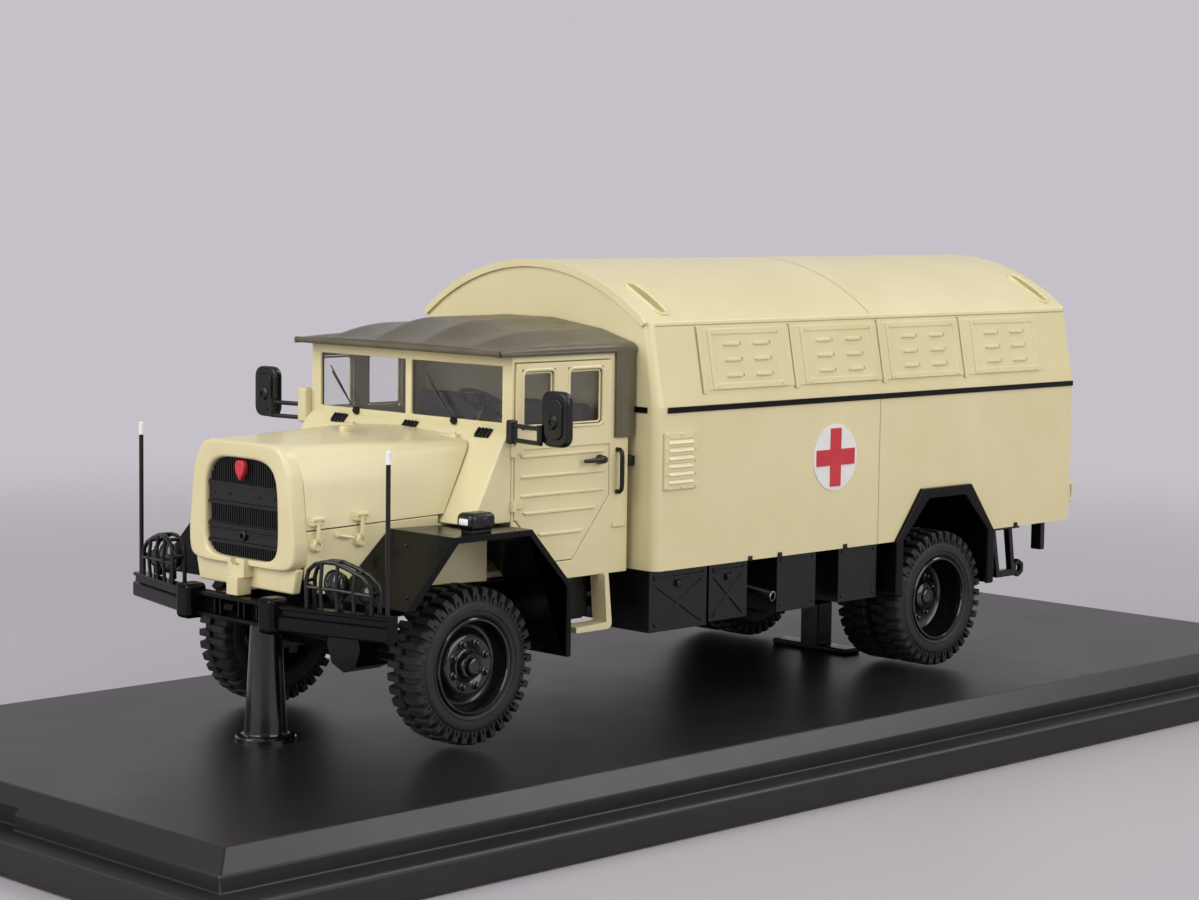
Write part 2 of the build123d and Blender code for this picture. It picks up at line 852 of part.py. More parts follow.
def cab_doors():
    """Both doors: a panel with pressed ribs, and a standing frame round its two windows."""
    door = along_y(door_outline(panel_gap), cab_half_width - cab_wall, cab_half_width)
    door += block(
        door_rear_x + panel_gap,
        door_front_x - panel_gap,
        cab_half_width,
        door_outer_y,
        door_frame_foot,
        door_top - panel_gap,
    )
    face = along_y(door_outline(door_rib_inset), cab_half_width, cab_half_width + door_rib_proud)
    for z in door_ribs:
        door += face & block(door_rear_x, door_front_x, cab_half_width, door_outer_y, z, z + door_rib_height)
    through = (cab_half_width - 2 * cab_wall, door_outer_y + overshoot)
    for x0, x1 in door_panes:
        door -= block(x0, x1, *through, door_pane_foot, door_pane_head)
    return both_sides(door)


def cab_glazing():
    x = cab_front_x - cab_wall
    panes = block(x, x + glass_thickness, screen_post_half, screen_half_width, screen_foot, screen_head)
    y = cab_half_width - cab_wall
    for x0, x1 in door_panes:
        panes += block(x0, x1, y, y + glass_thickness, door_pane_foot, door_pane_head)
    return both_sides(panes)


def canvas_section(x, inset, foot):
    """The roof's cross-section: upright skirts and a low arch between them."""
    half = cab_half_width + canvas_overhang - inset
    shoulder = cab_top + canvas_skirt - inset
    crown = cab_top + canvas_skirt + canvas_rise - inset
    edge = [
        Line((x, -half, foot), (x, half, foot)),
        Line((x, half, foot), (x, half, shoulder)),
        ThreePointArc((x, half, shoulder), (x, 0, crown), (x, -half, shoulder)),
        Line((x, -half, shoulder), (x, -half, foot)),
    ]
    return make_face(Wire(Curve() + edge))


def canvas_roof():
    """The canvas over the cab, with a flap down behind each door."""
    length = canvas_front_x - canvas_rear_x
    outer = extrude(canvas_section(canvas_rear_x, 0, cab_top), amount=length, dir=(1, 0, 0))
    inner = extrude(
        canvas_section(canvas_rear_x + canvas_skin, canvas_skin, cab_top - overshoot),
        amount=length - 2 * canvas_skin,
        dir=(1, 0, 0),
    )
    flap = block(
        canvas_rear_x,
        canvas_flap_front_x,
        cab_half_width,
        cab_half_width + canvas_flap_thickness,
        canvas_flap_foot,
        cab_top,
    )
    return outer - inner + both_sides(flap)


seat_front_x = -19.5
seat_rear_x = -29.5
seat_inner_y = 4.0
seat_outer_y = 18.5
seat_top = 36.0
backrest_top = 48.0
backrest_thickness = 2.4
dash_depth = 3.0
dash_foot = 40.0
dash_foot_slope = 2.0
dash_top_rise = 0.3
dash_top_slope = 1.0


def cab_seats():
    """Two seats on boxes on the cab's floor, each with its backrest."""
    floor = cab_bottom + cab_wall
    seat = block(seat_rear_x, seat_front_x, seat_inner_y, seat_outer_y, floor, seat_top)
    back = block(
        seat_rear_x, seat_rear_x + backrest_thickness, seat_inner_y, seat_outer_y, seat_top, backrest_top
    )
    return both_sides(seat + back)


def dashboard():
    front = cab_front_x - cab_wall
    rear = front - dash_depth
    reach = cab_half_width - cab_wall
    top = scuttle_head + dash_top_rise
    front_edge = [(front, dash_foot), (front, top)]
    rear_edge = [(rear, top - dash_top_slope), (rear, dash_foot + dash_foot_slope)]
    return along_y(front_edge + rear_edge, -reach, reach)


wheel_y = 10.4
wheel_behind_dash = 2.6
wheel_above_dash_foot = 8.2
wheel_ring_radius = 4.3
wheel_ring_sides = 16
column_gap = 0.25
column_above_dash_foot = 4.0


def steering_wheel():
    """A ring on a raked column, left of the middle, with two spokes."""
    dash_x = cab_front_x - cab_wall - dash_depth
    middle = (dash_x - wheel_behind_dash, wheel_y, dash_foot + wheel_above_dash_foot)
    foot = (dash_x - column_gap, wheel_y, dash_foot + column_above_dash_foot)
    plane = Plane(origin=middle, z_dir=Vector(*middle) - Vector(*foot))
    ring = extrude(RegularPolygon(wheel_ring_radius, wheel_ring_sides), amount=bar_thickness)
    ring -= extrude(RegularPolygon(wheel_ring_radius - bar_thickness, wheel_ring_sides), amount=bar_thickness)
    spoke_length = 2 * wheel_ring_radius - bar_thickness
    spokes = Box(bar_thickness, spoke_length, bar_thickness, align=standing)
    return plane * (ring + spokes) + rod(foot, middle, bar_thickness / 2, bar_sides)


mirror_x = -8.2
mirror_width = 5.6
mirror_height = 8.1
mirror_thickness = 1.5
mirror_middle_z = 47.6
mirror_corner = 1.2
mirror_inner_y = 30.2
mirror_arm_z = (46.0, 44.0)
mirror_arm_lap = 1.0
mirror_mount_thickness = 1.4
mirror_mount_foot = 43.4
mirror_mount_head = 47.2


def mirror_head(x, y, z):
    """A mirror's housing, with its corners cut off."""
    head = Pos(x, y, z) * Box(mirror_thickness, mirror_width, mirror_height)
    return chamfer(head.edges().filter_by(Axis.X), mirror_corner)


def mirrors():
    """A mirror each side on two arms from a block on the scuttle's side."""
    half = mirror_mount_thickness / 2
    mount_y = cab_half_width + mirror_mount_thickness
    heights = (mirror_mount_foot, mirror_mount_head)
    one = block(mirror_x - half, mirror_x + half, cab_half_width, mount_y, *heights)
    for z in mirror_arm_z:
        arm_end = (mirror_x, mirror_inner_y + mirror_arm_lap, z)
        one += rod((mirror_x, cab_half_width + half, z), arm_end, rod_radius, bar_sides)
    return both_sides(one + mirror_head(mirror_x, mirror_inner_y + mirror_width / 2, mirror_middle_z))


wiper_stand_off = 0.3
wiper_radius = 0.16
wiper_pivot = 1.2
wiper_pivot_depth = 0.7
# Columns are the y and z of a wiper's foot, and of its tip
wiper_runs = ((-11.9, 45.9, -18.0, 51.0), (10.5, 45.9, 4.7, 51.3))


def wipers():
    x = cab_front_x + wiper_stand_off
    pivot_x = cab_front_x + wiper_pivot_depth / 2
    arms = []
    for foot_y, foot_z, tip_y, tip_z in wiper_runs:
        arms.append(Pos(pivot_x, foot_y, foot_z) * Box(wiper_pivot_depth, wiper_pivot, wiper_pivot_depth))
        arms.append(rod((x, foot_y, foot_z), (x, tip_y, tip_z), wiper_radius, bar_sides))
    return joined(arms)


handle_reach = 1.3
handle_bar = 0.6
lever_front_x = -23.0
lever_rear_x = -27.6
lever_z = 39.7
lever_boss = 1.3
grab_x = -30.6
grab_foot = 34.6
grab_head = 41.5


def door_handles():
    """On each side a lever on the door, and a grab rail behind it."""
    y, outer = cab_half_width + handle_reach - handle_bar, cab_half_width + handle_reach
    lever = block(lever_rear_x, lever_front_x, y, outer, lever_z, lever_z + handle_bar)
    boss_x = lever_front_x - lever_boss
    lever += block(boss_x, lever_front_x, cab_half_width, y, lever_z, lever_z + handle_bar)
    rear_x, front_x = grab_x - handle_bar / 2, grab_x + handle_bar / 2
    rail = block(rear_x, front_x, y, outer, grab_foot, grab_head)
    for z in (grab_foot, grab_head - handle_bar):
        rail += block(rear_x, front_x, cab_half_width, y, z, z + handle_bar)
    return both_sides(lever + rail)


step_front_x = -21.4
step_rear_x = -29.0
step_z = 14.4
step_thickness = 0.9
step_inner_y = 20.4
step_outer_y = 24.2
step_strap = 1.3
step_strap_lean = 2.0


def cab_steps():
    """A tread below each door, hung from the cab's floor by a strap at its back and a bar at its front."""
    top = step_z + step_thickness
    tread = block(step_rear_x, step_front_x, step_inner_y, step_outer_y, step_z, top)
    strap = [
        (step_rear_x, top),
        (step_rear_x + step_strap, top),
        (step_rear_x + step_strap + step_strap_lean, cab_bottom),
        (step_rear_x + step_strap_lean, cab_bottom),
    ]
    hung = tread + along_y(strap, cab_half_width - cab_wall, cab_half_width)
    front_x, inner = step_front_x - step_thickness, step_inner_y + bar_thickness
    return both_sides(hung + block(front_x, step_front_x, step_inner_y, inner, step_z, cab_bottom))


# Front end
# Columns are the y and z of the bonnet's half-section corners at the radiator shell, and at the scuttle
bonnet_corners = (
    ((0.0, 43.7), (0.0, 44.6)),
    ((7.9, 42.8), (16.5, 43.4)),
    ((10.6, 38.0), (16.9, 41.4)),
    ((12.2, 31.8), (17.8, 33.5)),
)
bonnet_rear_x = -8.5
crown_line, shoulder_line, crease_line, seam_line = range(len(bonnet_corners))


def bonnet_edge(corner, x):
    """Where a corner line of the bonnet is at some x."""
    (front_y, front_z), (rear_y, rear_z) = bonnet_corners[corner]
    share = (x - shell_rear_x) / (bonnet_rear_x - shell_rear_x)
    return front_y + share * (rear_y - front_y), front_z + share * (rear_z - front_z)


def bonnet_section(x, inset):
    """The bonnet's cross-section, drawn in by an inset, and lower at its open foot."""
    _, crown = bonnet_edge(crown_line, x)
    shoulder_y, shoulder_z = bonnet_edge(shoulder_line, x)
    crease_y, crease_z = bonnet_edge(crease_line, x)
    seam_y, seam_z = bonnet_edge(seam_line, x)
    seam_z -= 2 * inset
    half = [
        (shoulder_y - inset / 2, shoulder_z - inset),
        (crease_y - inset, crease_z - inset / 2),
        (seam_y - inset, seam_z),
    ]
    ring = [(0, crown - inset)] + half + [(-y, z) for y, z in reversed(half)]
    return make_face(Polyline(*[(x, y, z) for y, z in ring], close=True))


def ahead_of_scuttle(gap):
    """The room ahead of the scuttle's slope, less a gap."""
    toe, knee, head, _ = scuttle_profile()
    run = (knee[0] - toe[0]) / (knee[1] - toe[1])
    foot = (toe[0] - run * toe[1], 0)
    top = (cab_front_x, head[1])
    points = [foot, knee, top, (cab_front_x, cab_top), (wing_front_x + far, cab_top), (wing_front_x + far, 0)]
    return along_y([(x + gap, z) for x, z in points], -far, far)


def bonnet_solid():
    return loft([bonnet_section(shell_rear_x, 0), bonnet_section(bonnet_rear_x, 0)], ruled=True)


def bonnet():
    """A pressed skin over the engine, open below, its upper side facet running out towards the scuttle."""
    ends = (shell_rear_x + overshoot, bonnet_rear_x - overshoot)
    inner = loft([bonnet_section(x, bonnet_skin) for x in ends], ruled=True)
    return (bonnet_solid() - inner) & ahead_of_scuttle(bonnet_gap)


# The x of each latch
latch_places = (19.0, 12.1)
latch_proud = 0.9
# Columns are each block's half length, and its foot and head above the seam
latch_blocks = ((0.9, 0.5, 1.5), (0.3, -2.2, 0.5), (0.7, -2.8, -1.8))


def bonnet_latches():
    """Over-centre latches across the seam on each side."""
    latches = []
    for x in latch_places:
        seam_y, seam_z = bonnet_edge(seam_line, x)
        for half, foot, head in latch_blocks:
            y = (seam_y - latch_proud, seam_y + latch_proud)
            latches.append(block(x - half, x + half, *y, seam_z + foot, seam_z + head))
    behind_panels = along_z(side_panel_plan(0) + [(cab_front_x, 0), (shell_rear_x, 0)], 0, cab_top)
    return both_sides(joined(latches) - bonnet_solid() - behind_panels)


panel_corner_top = 25.4
# The x and z along the cut corner
panel_corner = ((19.0, 24.0), (18.1, 22.7))


def side_panel_plan(inset):
    """The panel's line in plan, under the bonnet's seam, from the radiator shell back to the cab."""
    front_y, _ = bonnet_edge(seam_line, shell_rear_x)
    rear_y, _ = bonnet_edge(seam_line, cab_front_x)
    return [(shell_rear_x, front_y - inset), (cab_front_x, rear_y - inset)]


def side_panels():
    """The panels below the bonnet, cut back at their front lower corner."""
    plan = side_panel_plan(0) + side_panel_plan(panel_skin)[::-1]
    panel = along_z(plan, side_panel_bottom, scuttle_foot + far)
    front_x, rear_x = shell_rear_x + overshoot, cab_front_x - overshoot
    above_seam = [
        (front_x, bonnet_edge(seam_line, front_x)[1] - panel_gap),
        (rear_x, bonnet_edge(seam_line, rear_x)[1] - panel_gap),
        (rear_x, scuttle_foot + far),
        (front_x, scuttle_foot + far),
    ]
    panel -= along_y(above_seam, 0, far)
    under_scuttle = scuttle_foot - panel_gap
    panel -= block(rear_x, scuttle_toe_x + bonnet_gap, 0, far, under_scuttle, scuttle_foot + far)
    corner = [(front_x, 0), (front_x, panel_corner_top), *panel_corner, (panel_corner[-1][0] - overshoot, 0)]
    return both_sides(panel - along_y(corner, 0, far))


def shell_half_outline():
    """The radiator shell's left half, from its foot up, as (y, z)."""
    corners = [bonnet_edge(corner, shell_rear_x) for corner in (seam_line, crease_line, shoulder_line)]
    return [(corners[0][0] - shell_tuck, shell_bottom)] + corners


# Shares of the grille's half-width at the corners of its head
grille_head_shares = (-1, -0.8, -0.55, -0.28, 0, 0.28, 0.55, 0.8, 1)
grille_bow = 0.2


def grille_face(x):
    """The grille's outline: straight sides, an arched head and a slightly bowed foot."""
    half, foot = grille_half_width, grille_bottom + grille_foot_rise
    rise = grille_top - grille_shoulder
    head = [(half * share, grille_shoulder + rise * (1 - share**2)) for share in grille_head_shares]
    sill_z = grille_bottom - grille_bow
    sill = [(half, foot), (half / 2, sill_z), (-half / 2, sill_z), (-half, foot)]
    return make_face(Polyline(*[(x, y, z) for y, z in head + sill], close=True))


jaw_half_width = 1.9
jaw_head = 26.9
jaw_neck = 24.3
jaw_stand_out = 0.8
hook_half_width = 1.3
bumper_top = 21.6


def radiator_shell():
    """The cream shell round the grille, the apron below it and the draw jaw on its middle."""
    left = shell_half_outline()
    outline = left + [(0, bonnet_corners[0][0][1])] + [(-y, z) for y, z in reversed(left)]
    body = along_x(outline, shell_rear_x, shell_front_x)
    depth = shell_front_x - shell_rear_x
    body -= extrude(grille_face(shell_rear_x - overshoot), amount=depth + 2 * overshoot, dir=(1, 0, 0))
    top_half = left[0][0] - shell_tuck
    low_half = top_half - apron_taper
    apron = [
        (-low_half, side_panel_bottom),
        (low_half, side_panel_bottom),
        (top_half, shell_bottom),
        (-top_half, shell_bottom),
    ]
    body += along_x(apron, shell_rear_x, shell_front_x - apron_setback)
    apron_x = shell_front_x - apron_setback
    jaw_x, hook_x = shell_front_x + jaw_stand_out, shell_front_x + 2 * jaw_stand_out
    jaw = block(apron_x, jaw_x, -jaw_half_width, jaw_half_width, jaw_neck, jaw_head)
    jaw -= rod((shell_front_x, 0, jaw_head), (hook_x, 0, jaw_head), jaw_half_width / 2, small_sides)
    hook = block(apron_x, hook_x, -hook_half_width, hook_half_width, bumper_top + panel_gap, jaw_neck)
    return body + jaw + hook


# Foot and head heights of the plain bands across the grille
band_proud = 0.2
grille_bands = ((28.6, 31.8), (34.2, 37.7))


def radiator_grille():
    """Upright slats before a plate, with two plain bands across them."""
    front = shell_front_x - grille_recess
    plate = extrude(grille_face(shell_rear_x), amount=grille_plate, dir=(1, 0, 0))
    field = extrude(grille_face(shell_rear_x), amount=front - shell_rear_x, dir=(1, 0, 0))
    pitch = 2 * grille_half_width / (slat_count + 1)
    slats = []
    for count in range(slat_count):
        y = (count + 1) * pitch - grille_half_width
        edges = (y - slat_width / 2, y + slat_width / 2)
        slats.append(block(shell_rear_x, front, *edges, grille_bottom - overshoot, grille_top))
    grille = plate + (joined(slats) & field)
    half, band_x = grille_half_width, front + band_proud
    band_field = extrude(grille_face(shell_rear_x), amount=band_x - shell_rear_x, dir=(1, 0, 0))
    for foot, head in grille_bands:
        grille += block(shell_rear_x, band_x, -half, half, foot, head) & band_field
    return grille


boss_half_width = 0.9
boss_half_height = 1.5
boss_middle_z = 39.7
boss_proud = 0.3


def grille_boss():
    """A plain oval boss at the head of the grille."""
    wide, high = boss_half_width, boss_half_height
    # Shares of the half-width and half-height at the oval's corners
    shares = ((-0.5, 1), (0.5, 1), (1, 0.6), (1, -0.6), (0.5, -1), (-0.5, -1), (-1, -0.6), (-1, 0.6))
    points = [(wide * across, boss_middle_z + high * up) for across, up in shares]
    return along_x(points, shell_front_x - grille_recess, shell_front_x + boss_proud)


def engine_block():
    """One plain block on two feet across the rails."""
    half = rail_half_spacing - engine_side_clearance
    body = block(engine_rear_x, engine_front_x, -half, half, rail_bottom + engine_foot_thickness, engine_top)
    middle, foot = (engine_rear_x + engine_front_x) / 2, engine_foot_half
    feet_z = (rail_top, rail_top + engine_foot_thickness)
    return body + block(middle - foot, middle + foot, -rail_outer_y, rail_outer_y, *feet_z)


# Front wings: folded sheet with a lip, and a flap behind the wheel
def front_wings():
    over, under = wing_top_line(0), wing_top_line(wing_skin)
    outer = wing_half_width
    edge_line = wing_top_line(wing_lip)
    edge_line[0] = (wing_front_x - wing_front_flange, wing_front_z)
    edge_line[1] = (wing_crest_front_x - wing_front_flange / 2, wing_top - wing_lip)
    sheet = along_y(over + under[::-1], 0, outer)
    sheet += along_y(over + edge_line[::-1], outer - wing_lip_thickness, outer)
    near, far_end = side_panel_plan(-panel_gap)
    slope = (far_end[1] - near[1]) / (far_end[0] - near[0])
    front_x = wing_front_x + overshoot
    beside_panel = [(front_x, 0), (front_x, near[1] + slope * (front_x - near[0])), far_end, (far_end[0], 0)]
    sheet -= along_z(beside_panel, 0, far)
    return both_sides(sheet - block(wing_rear_x - overshoot, far_end[0], 0, wing_inner_y, 0, far))


wing_lamp_box = (-1.4, 3.9, 24.6, 28.4)
wing_lamp_height = 3.0
wing_lamp_corner = 0.8


def wing_lamps():
    rear_x, front_x, inner_y, outer_y = wing_lamp_box
    lamp = block(rear_x, front_x, inner_y, outer_y, wing_top, wing_top + wing_lamp_height)
    uprights = lamp.edges().filter_by(Axis.Z)
    return both_sides(chamfer(uprights, wing_lamp_corner))


bumper_bottom = 18.0
bumper_face_x = 24.6
bumper_web_x = 22.4
bumper_wall = 0.6
# The inner y of the upright ribs in the channel
bumper_ribs = (-3.6, 0.6)
bumper_rib_setback = 0.4
overrider_inner_y = 8.0
overrider_outer_y = 11.2
overrider_face_x = 26.0
overrider_drop = 0.6
overrider_rise = 1.0
overrider_edge = 0.7
arm_proud = 0.2
bumper_end_y = 29.4
bumper_end_x = 20.4


def front_bumper():
    """A channel across the middle between two overriders, with arms swept back to the ends."""
    inner, outer = overrider_inner_y, overrider_outer_y
    channel = [
        (bumper_face_x, bumper_bottom),
        (bumper_web_x, bumper_bottom),
        (bumper_web_x, bumper_top),
        (bumper_face_x, bumper_top),
        (bumper_face_x, bumper_top - bumper_wall),
        (bumper_web_x + bumper_wall, bumper_top - bumper_wall),
        (bumper_web_x + bumper_wall, bumper_bottom + bumper_wall),
        (bumper_face_x, bumper_bottom + bumper_wall),
    ]
    centre = along_y(channel, -inner, inner)
    for y in bumper_ribs:
        rib_x = bumper_face_x - bumper_rib_setback
        centre += block(bumper_web_x, rib_x, y, y + bumper_wall, bumper_bottom, bumper_top)
    heights = (bumper_bottom - overrider_drop, bumper_top + overrider_rise)
    overrider = block(bumper_web_x, overrider_face_x, inner, outer, *heights)
    overrider = chamfer(overrider.edges().filter_by(Axis.Z).sort_by(Axis.X)[-2:], overrider_edge)
    depth = bumper_face_x - bumper_web_x
    arm_plan = [
        (bumper_face_x + arm_proud, outer),
        (bumper_end_x, bumper_end_y),
        (bumper_end_x - depth, bumper_end_y),
        (bumper_web_x, outer),
    ]
    arm = along_z(arm_plan, bumper_bottom, bumper_top)
    tie = block(rail_front_x, bumper_web_x, rail_half_spacing, rail_outer_y, bumper_bottom, rail_top)
    return centre + both_sides(overrider + arm + tie)


def arm_x(y, setback):
    """The x on a bumper arm at some y, set back from its face."""
    share = (y - overrider_outer_y) / (bumper_end_y - overrider_outer_y)
    start_x = bumper_face_x + arm_proud
    return start_x + share * (bumper_end_x - start_x) - setback


# Columns are a lamp's y, its middle's height, its radius and its number of flats
lamps = ((19.4, 24.9, 2.4, 16), (24.4, 24.2, 1.3, 10))
lamp_length = 2.0
lamp_setback = 1.5
lamp_stem_x = 0.7
lamp_stem_half = 0.3
lamp_stem_half_width = 0.5
lamp_stem_lap = 0.8


def headlamps():
    row = []
    for y, z, radius, sides in lamps:
        x = arm_x(y, lamp_setback)
        row.append(rod((x - lamp_length, y, z), (x, y, z), radius, sides))
        stem_x, half = x - lamp_stem_x, lamp_stem_half_width
        ends = (stem_x - lamp_stem_half, stem_x + lamp_stem_half)
        row.append(block(*ends, y - half, y + half, bumper_top, z - radius * lamp_stem_lap))
    return both_sides(joined(row))


# Along the arm from its inner end, and up from the bumper's top: a cage's hoop from foot to foot
cage_hoop = ((4.6, 0.0), (4.6, 4.6), (6.3, 6.5), (9.6, 6.9), (14.3, 5.4), (16.1, 3.6), (16.1, 0.0))
cage_bar = 0.5
cage_depth = 2.2
cage_setback = 0.3
cage_upright_places = ((8.4, 6.7), (12.4, 6.0))
cage_level_rise = 3.0
arm_angle = atan2(bumper_face_x + arm_proud - bumper_end_x, bumper_end_y - overrider_outer_y)


def on_arm(setback):
    """A plane along the front of the bumper's left arm, set back from it, its y up from the bumper's top."""
    start = (arm_x(overrider_outer_y, setback), overrider_outer_y, bumper_top)
    along, outwards = (-sin(arm_angle), cos(arm_angle), 0), (cos(arm_angle), sin(arm_angle), 0)
    return Plane(origin=start, x_dir=along, z_dir=outwards)


def cage_frame(setback):
    """One hoop of a cage, open at its foot."""
    (foot_in, _), (foot_out, _) = cage_hoop[0], cage_hoop[-1]
    middle = (foot_in + foot_out) / 2
    narrower = 1 - 2 * cage_bar / (foot_out - foot_in)
    lower = 1 - cage_bar / max(rise for _, rise in cage_hoop)
    inner = [(middle + (along - middle) * narrower, rise * lower) for along, rise in cage_hoop]
    outline = list(cage_hoop) + inner[::-1]
    return on_arm(setback) * extrude(make_face(Polyline(*outline, close=True)), amount=-cage_bar)


def headlamp_cages():
    """Barred guards before the lamps: a hoop at the front and one behind, tied at the corners."""
    cage = cage_frame(cage_setback) + cage_frame(cage_setback + cage_depth)
    plane = on_arm(cage_setback)
    for along, rise in cage_hoop[1:-1:2]:
        tie = Box(cage_bar, cage_bar, cage_depth, align=(Align.CENTER, Align.MAX, Align.MAX))
        cage += plane * Pos(along, rise, 0) * tie
    for along, rise in cage_upright_places:
        upright = Box(cage_bar, rise, cage_bar, align=(Align.CENTER, Align.MIN, Align.MAX))
        cage += plane * Pos(along, 0, 0) * upright
    first, last = cage_hoop[0][0], cage_hoop[-1][0]
    level = Box(last - first, cage_bar, cage_bar, align=(Align.MIN, Align.CENTER, Align.MAX))
    return both_sides(cage + plane * Pos(first, cage_level_rise, 0) * level)


marker_y = 28.6
marker_top = 44.4
marker_setback = 1.2


def marker_rods():
    x = arm_x(marker_y, marker_setback)
    return both_sides(rod((x, marker_y, bumper_top), (x, marker_y, marker_top), rod_radius, bar_sides))


# Side lockers: columns are front x, rear x, bottom z, and whether crossed ribs stiffen the face
lockers = (
    (-34.4, -47.2, 13.3, True),
    (-47.7, -56.5, 13.7, True),
    (-63.6, -73.0, 13.6, False),
    (-78.7, -88.4, 13.7, False),
)
step_box = (-22.6, -27.2, 16.0)
rib_end_inset = 1.2
rib_drop = 0.6
rib_rise_inset = 1.6
lid_rib_inset = 1.0


def crossed_ribs(front_x, rear_x, bottom):
    """Two ribs corner to corner on a locker's face, and one along its lid."""
    middle_x, middle_z = (front_x + rear_x) / 2, (bottom + box_bottom) / 2 - rib_drop
    half_x = (front_x - rear_x) / 2 - rib_end_inset
    half_z = (box_bottom - bottom) / 2 - rib_rise_inset
    ribs = []
    for lean in (-1, 1):
        start = Vector(middle_x - half_x, locker_outer_y, middle_z - lean * half_z)
        end = Vector(middle_x + half_x, locker_outer_y, middle_z + lean * half_z)
        run = end - start
        rib = Box(2 * locker_rib_proud, locker_rib_width, run.length, align=standing)
        ribs.append(Plane(origin=start, x_dir=(0, 1, 0), z_dir=run) * rib)
    lid_z = box_bottom - rib_rise_inset
    ends = (rear_x + lid_rib_inset, front_x - lid_rib_inset)
    outer = locker_outer_y + locker_rib_proud
    return joined(ribs) + block(*ends, locker_outer_y, outer, lid_z, lid_z + locker_rib_width)


def side_lockers():
    """Cases hung under the box on each side, and the small one under the cab."""
    front_x, rear_x, bottom = step_box
    row = [block(rear_x, front_x, locker_inner_y, step_inner_y - panel_gap, bottom, cab_bottom)]
    for front_x, rear_x, bottom, ribbed in lockers:
        row.append(block(rear_x, front_x, locker_inner_y, locker_outer_y, bottom, box_bottom))
        if ribbed:
            row.append(crossed_ribs(front_x, rear_x, bottom))
    return both_sides(joined(row))


pipe_root = Vector(-59.6, rail_outer_y, 18.6)
pipe_tip = Vector(-61.6, 27.4, 16.5)
pipe_radius = 0.95
pipe_bore = 0.7
pipe_bore_depth = 4.0
pipe_sides = 16


def exhaust_pipe():
    """The tail pipe from the frame out to the left side, open at its end."""
    along = (pipe_tip - pipe_root).normalized()
    pipe = rod(tuple(pipe_root - along), tuple(pipe_tip), pipe_radius, pipe_sides)
    mouth = rod(tuple(pipe_tip - along * pipe_bore_depth), tuple(pipe_tip + along), pipe_bore, pipe_sides)
    near = (pipe_root.X - pipe_bore_depth, pipe_root.X + pipe_bore_depth)
    return pipe - mouth - block(*near, 0, rail_outer_y, 0, cab_bottom)


bracket_front_x = -122.6
bracket_rear_x = -131.6
bracket_y = 22.4
bracket_foot = 13.2
bracket_bar = 1.2
bracket_ring = 1.6
bracket_link_half = 0.5
# Columns are the x of a hanging link's foot and of its head
bracket_links = ((-125.8, -124.0), (-130.2, -128.8))


def rear_brackets():
    """A folding towing bracket under the tail on each side, with its ring."""
    top_z, inner_y, outer_y = box_bottom, bracket_y - bracket_bar, bracket_y + bracket_bar
    half, lap = bracket_link_half, bracket_bar / 2
    foot_z, bar_z = bracket_foot + bracket_bar, box_bottom - bracket_bar
    bracket = block(bracket_rear_x, bracket_front_x, inner_y, outer_y, bar_z, top_z)
    for foot_x, head_x in bracket_links:
        head = [(head_x - half, bar_z + lap), (head_x + half, bar_z + lap)]
        foot = [(foot_x + half, bracket_foot), (foot_x - half, bracket_foot)]
        bracket += along_y(head + foot, bracket_y, outer_y)
    bracket += block(bracket_links[1][0], bracket_links[0][0], bracket_y, outer_y, bracket_foot, foot_z)
    ring_x = bracket_links[1][0] - bracket_ring
    edges = (bracket_y + panel_gap, outer_y - panel_gap)
    ring = rod((ring_x, edges[0], foot_z), (ring_x, edges[1], foot_z), bracket_ring, bar_sides)
    ring -= rod((ring_x, bracket_y, foot_z), (ring_x, outer_y, foot_z), bracket_ring / 2, bar_sides)
    return both_sides(bracket + ring)


tail_lamp_front = 1.5
tail_lamp_rear = 0.3
tail_lamp_tuck = 4.75
tail_lamp_width = 2.2
tail_lamp_height = 5.8


def rear_lamps():
    """A lamp block each side under the tail."""
    outer = box_half_width - tail_lamp_tuck
    ends = (box_rear_x + tail_lamp_rear, box_rear_x + tail_lamp_front)
    return both_sides(block(*ends, outer - tail_lamp_width, outer, box_bottom - tail_lamp_height, box_bottom))


write("plinth", plinth(), Pos(0, 0, 0))
write("front_pillar", front_pillar())
write("rear_stand", rear_stand())
write("chassis_frame", chassis_frame())
write("leaf_springs", leaf_springs())
write("front_axle", front_axle())
write("rear_axle", rear_axle())
write("propeller_shafts", propeller_shafts())
write("engine_block", engine_block())
write("front_bumper", front_bumper())
write("headlamps", headlamps())
write("headlamp_cages", headlamp_cages())
write("marker_rods", marker_rods())
write("radiator_shell", radiator_shell())
write("radiator_grille", radiator_grille())
write("grille_boss", grille_boss())
write("bonnet", bonnet())
write("bonnet_latches", bonnet_latches())
write("side_panels", side_panels())
write("scuttle", scuttle())
write("front_wings", front_wings())
write("wing_lamps", wing_lamps())
write("cab_shell", cab_shell())
write("cab_doors", cab_doors())
write("door_handles", door_handles())
write("cab_glazing", cab_glazing())
write("canvas_roof", canvas_roof())
write("cab_seats", cab_seats())
write("dashboard", dashboard())
write("steering_wheel", steering_wheel())
write("mirrors", mirrors())
write("wipers", wipers())
write("cab_steps", cab_steps())
write("box_lower", box_lower())
write("box_upper", box_upper())
write("belt_strips", belt_strips())
write("vent_flaps", vent_flaps())
write("vent_panels", vent_panels())
write("rear_door", rear_door())
write("medical_discs", medical_discs())
write("medical_crosses", medical_crosses())
write("rear_mudguards", rear_mudguards())
write("side_lockers", side_lockers())
write("exhaust_pipe", exhaust_pipe())
write("rear_brackets", rear_brackets())
write("rear_lamps", rear_lamps())

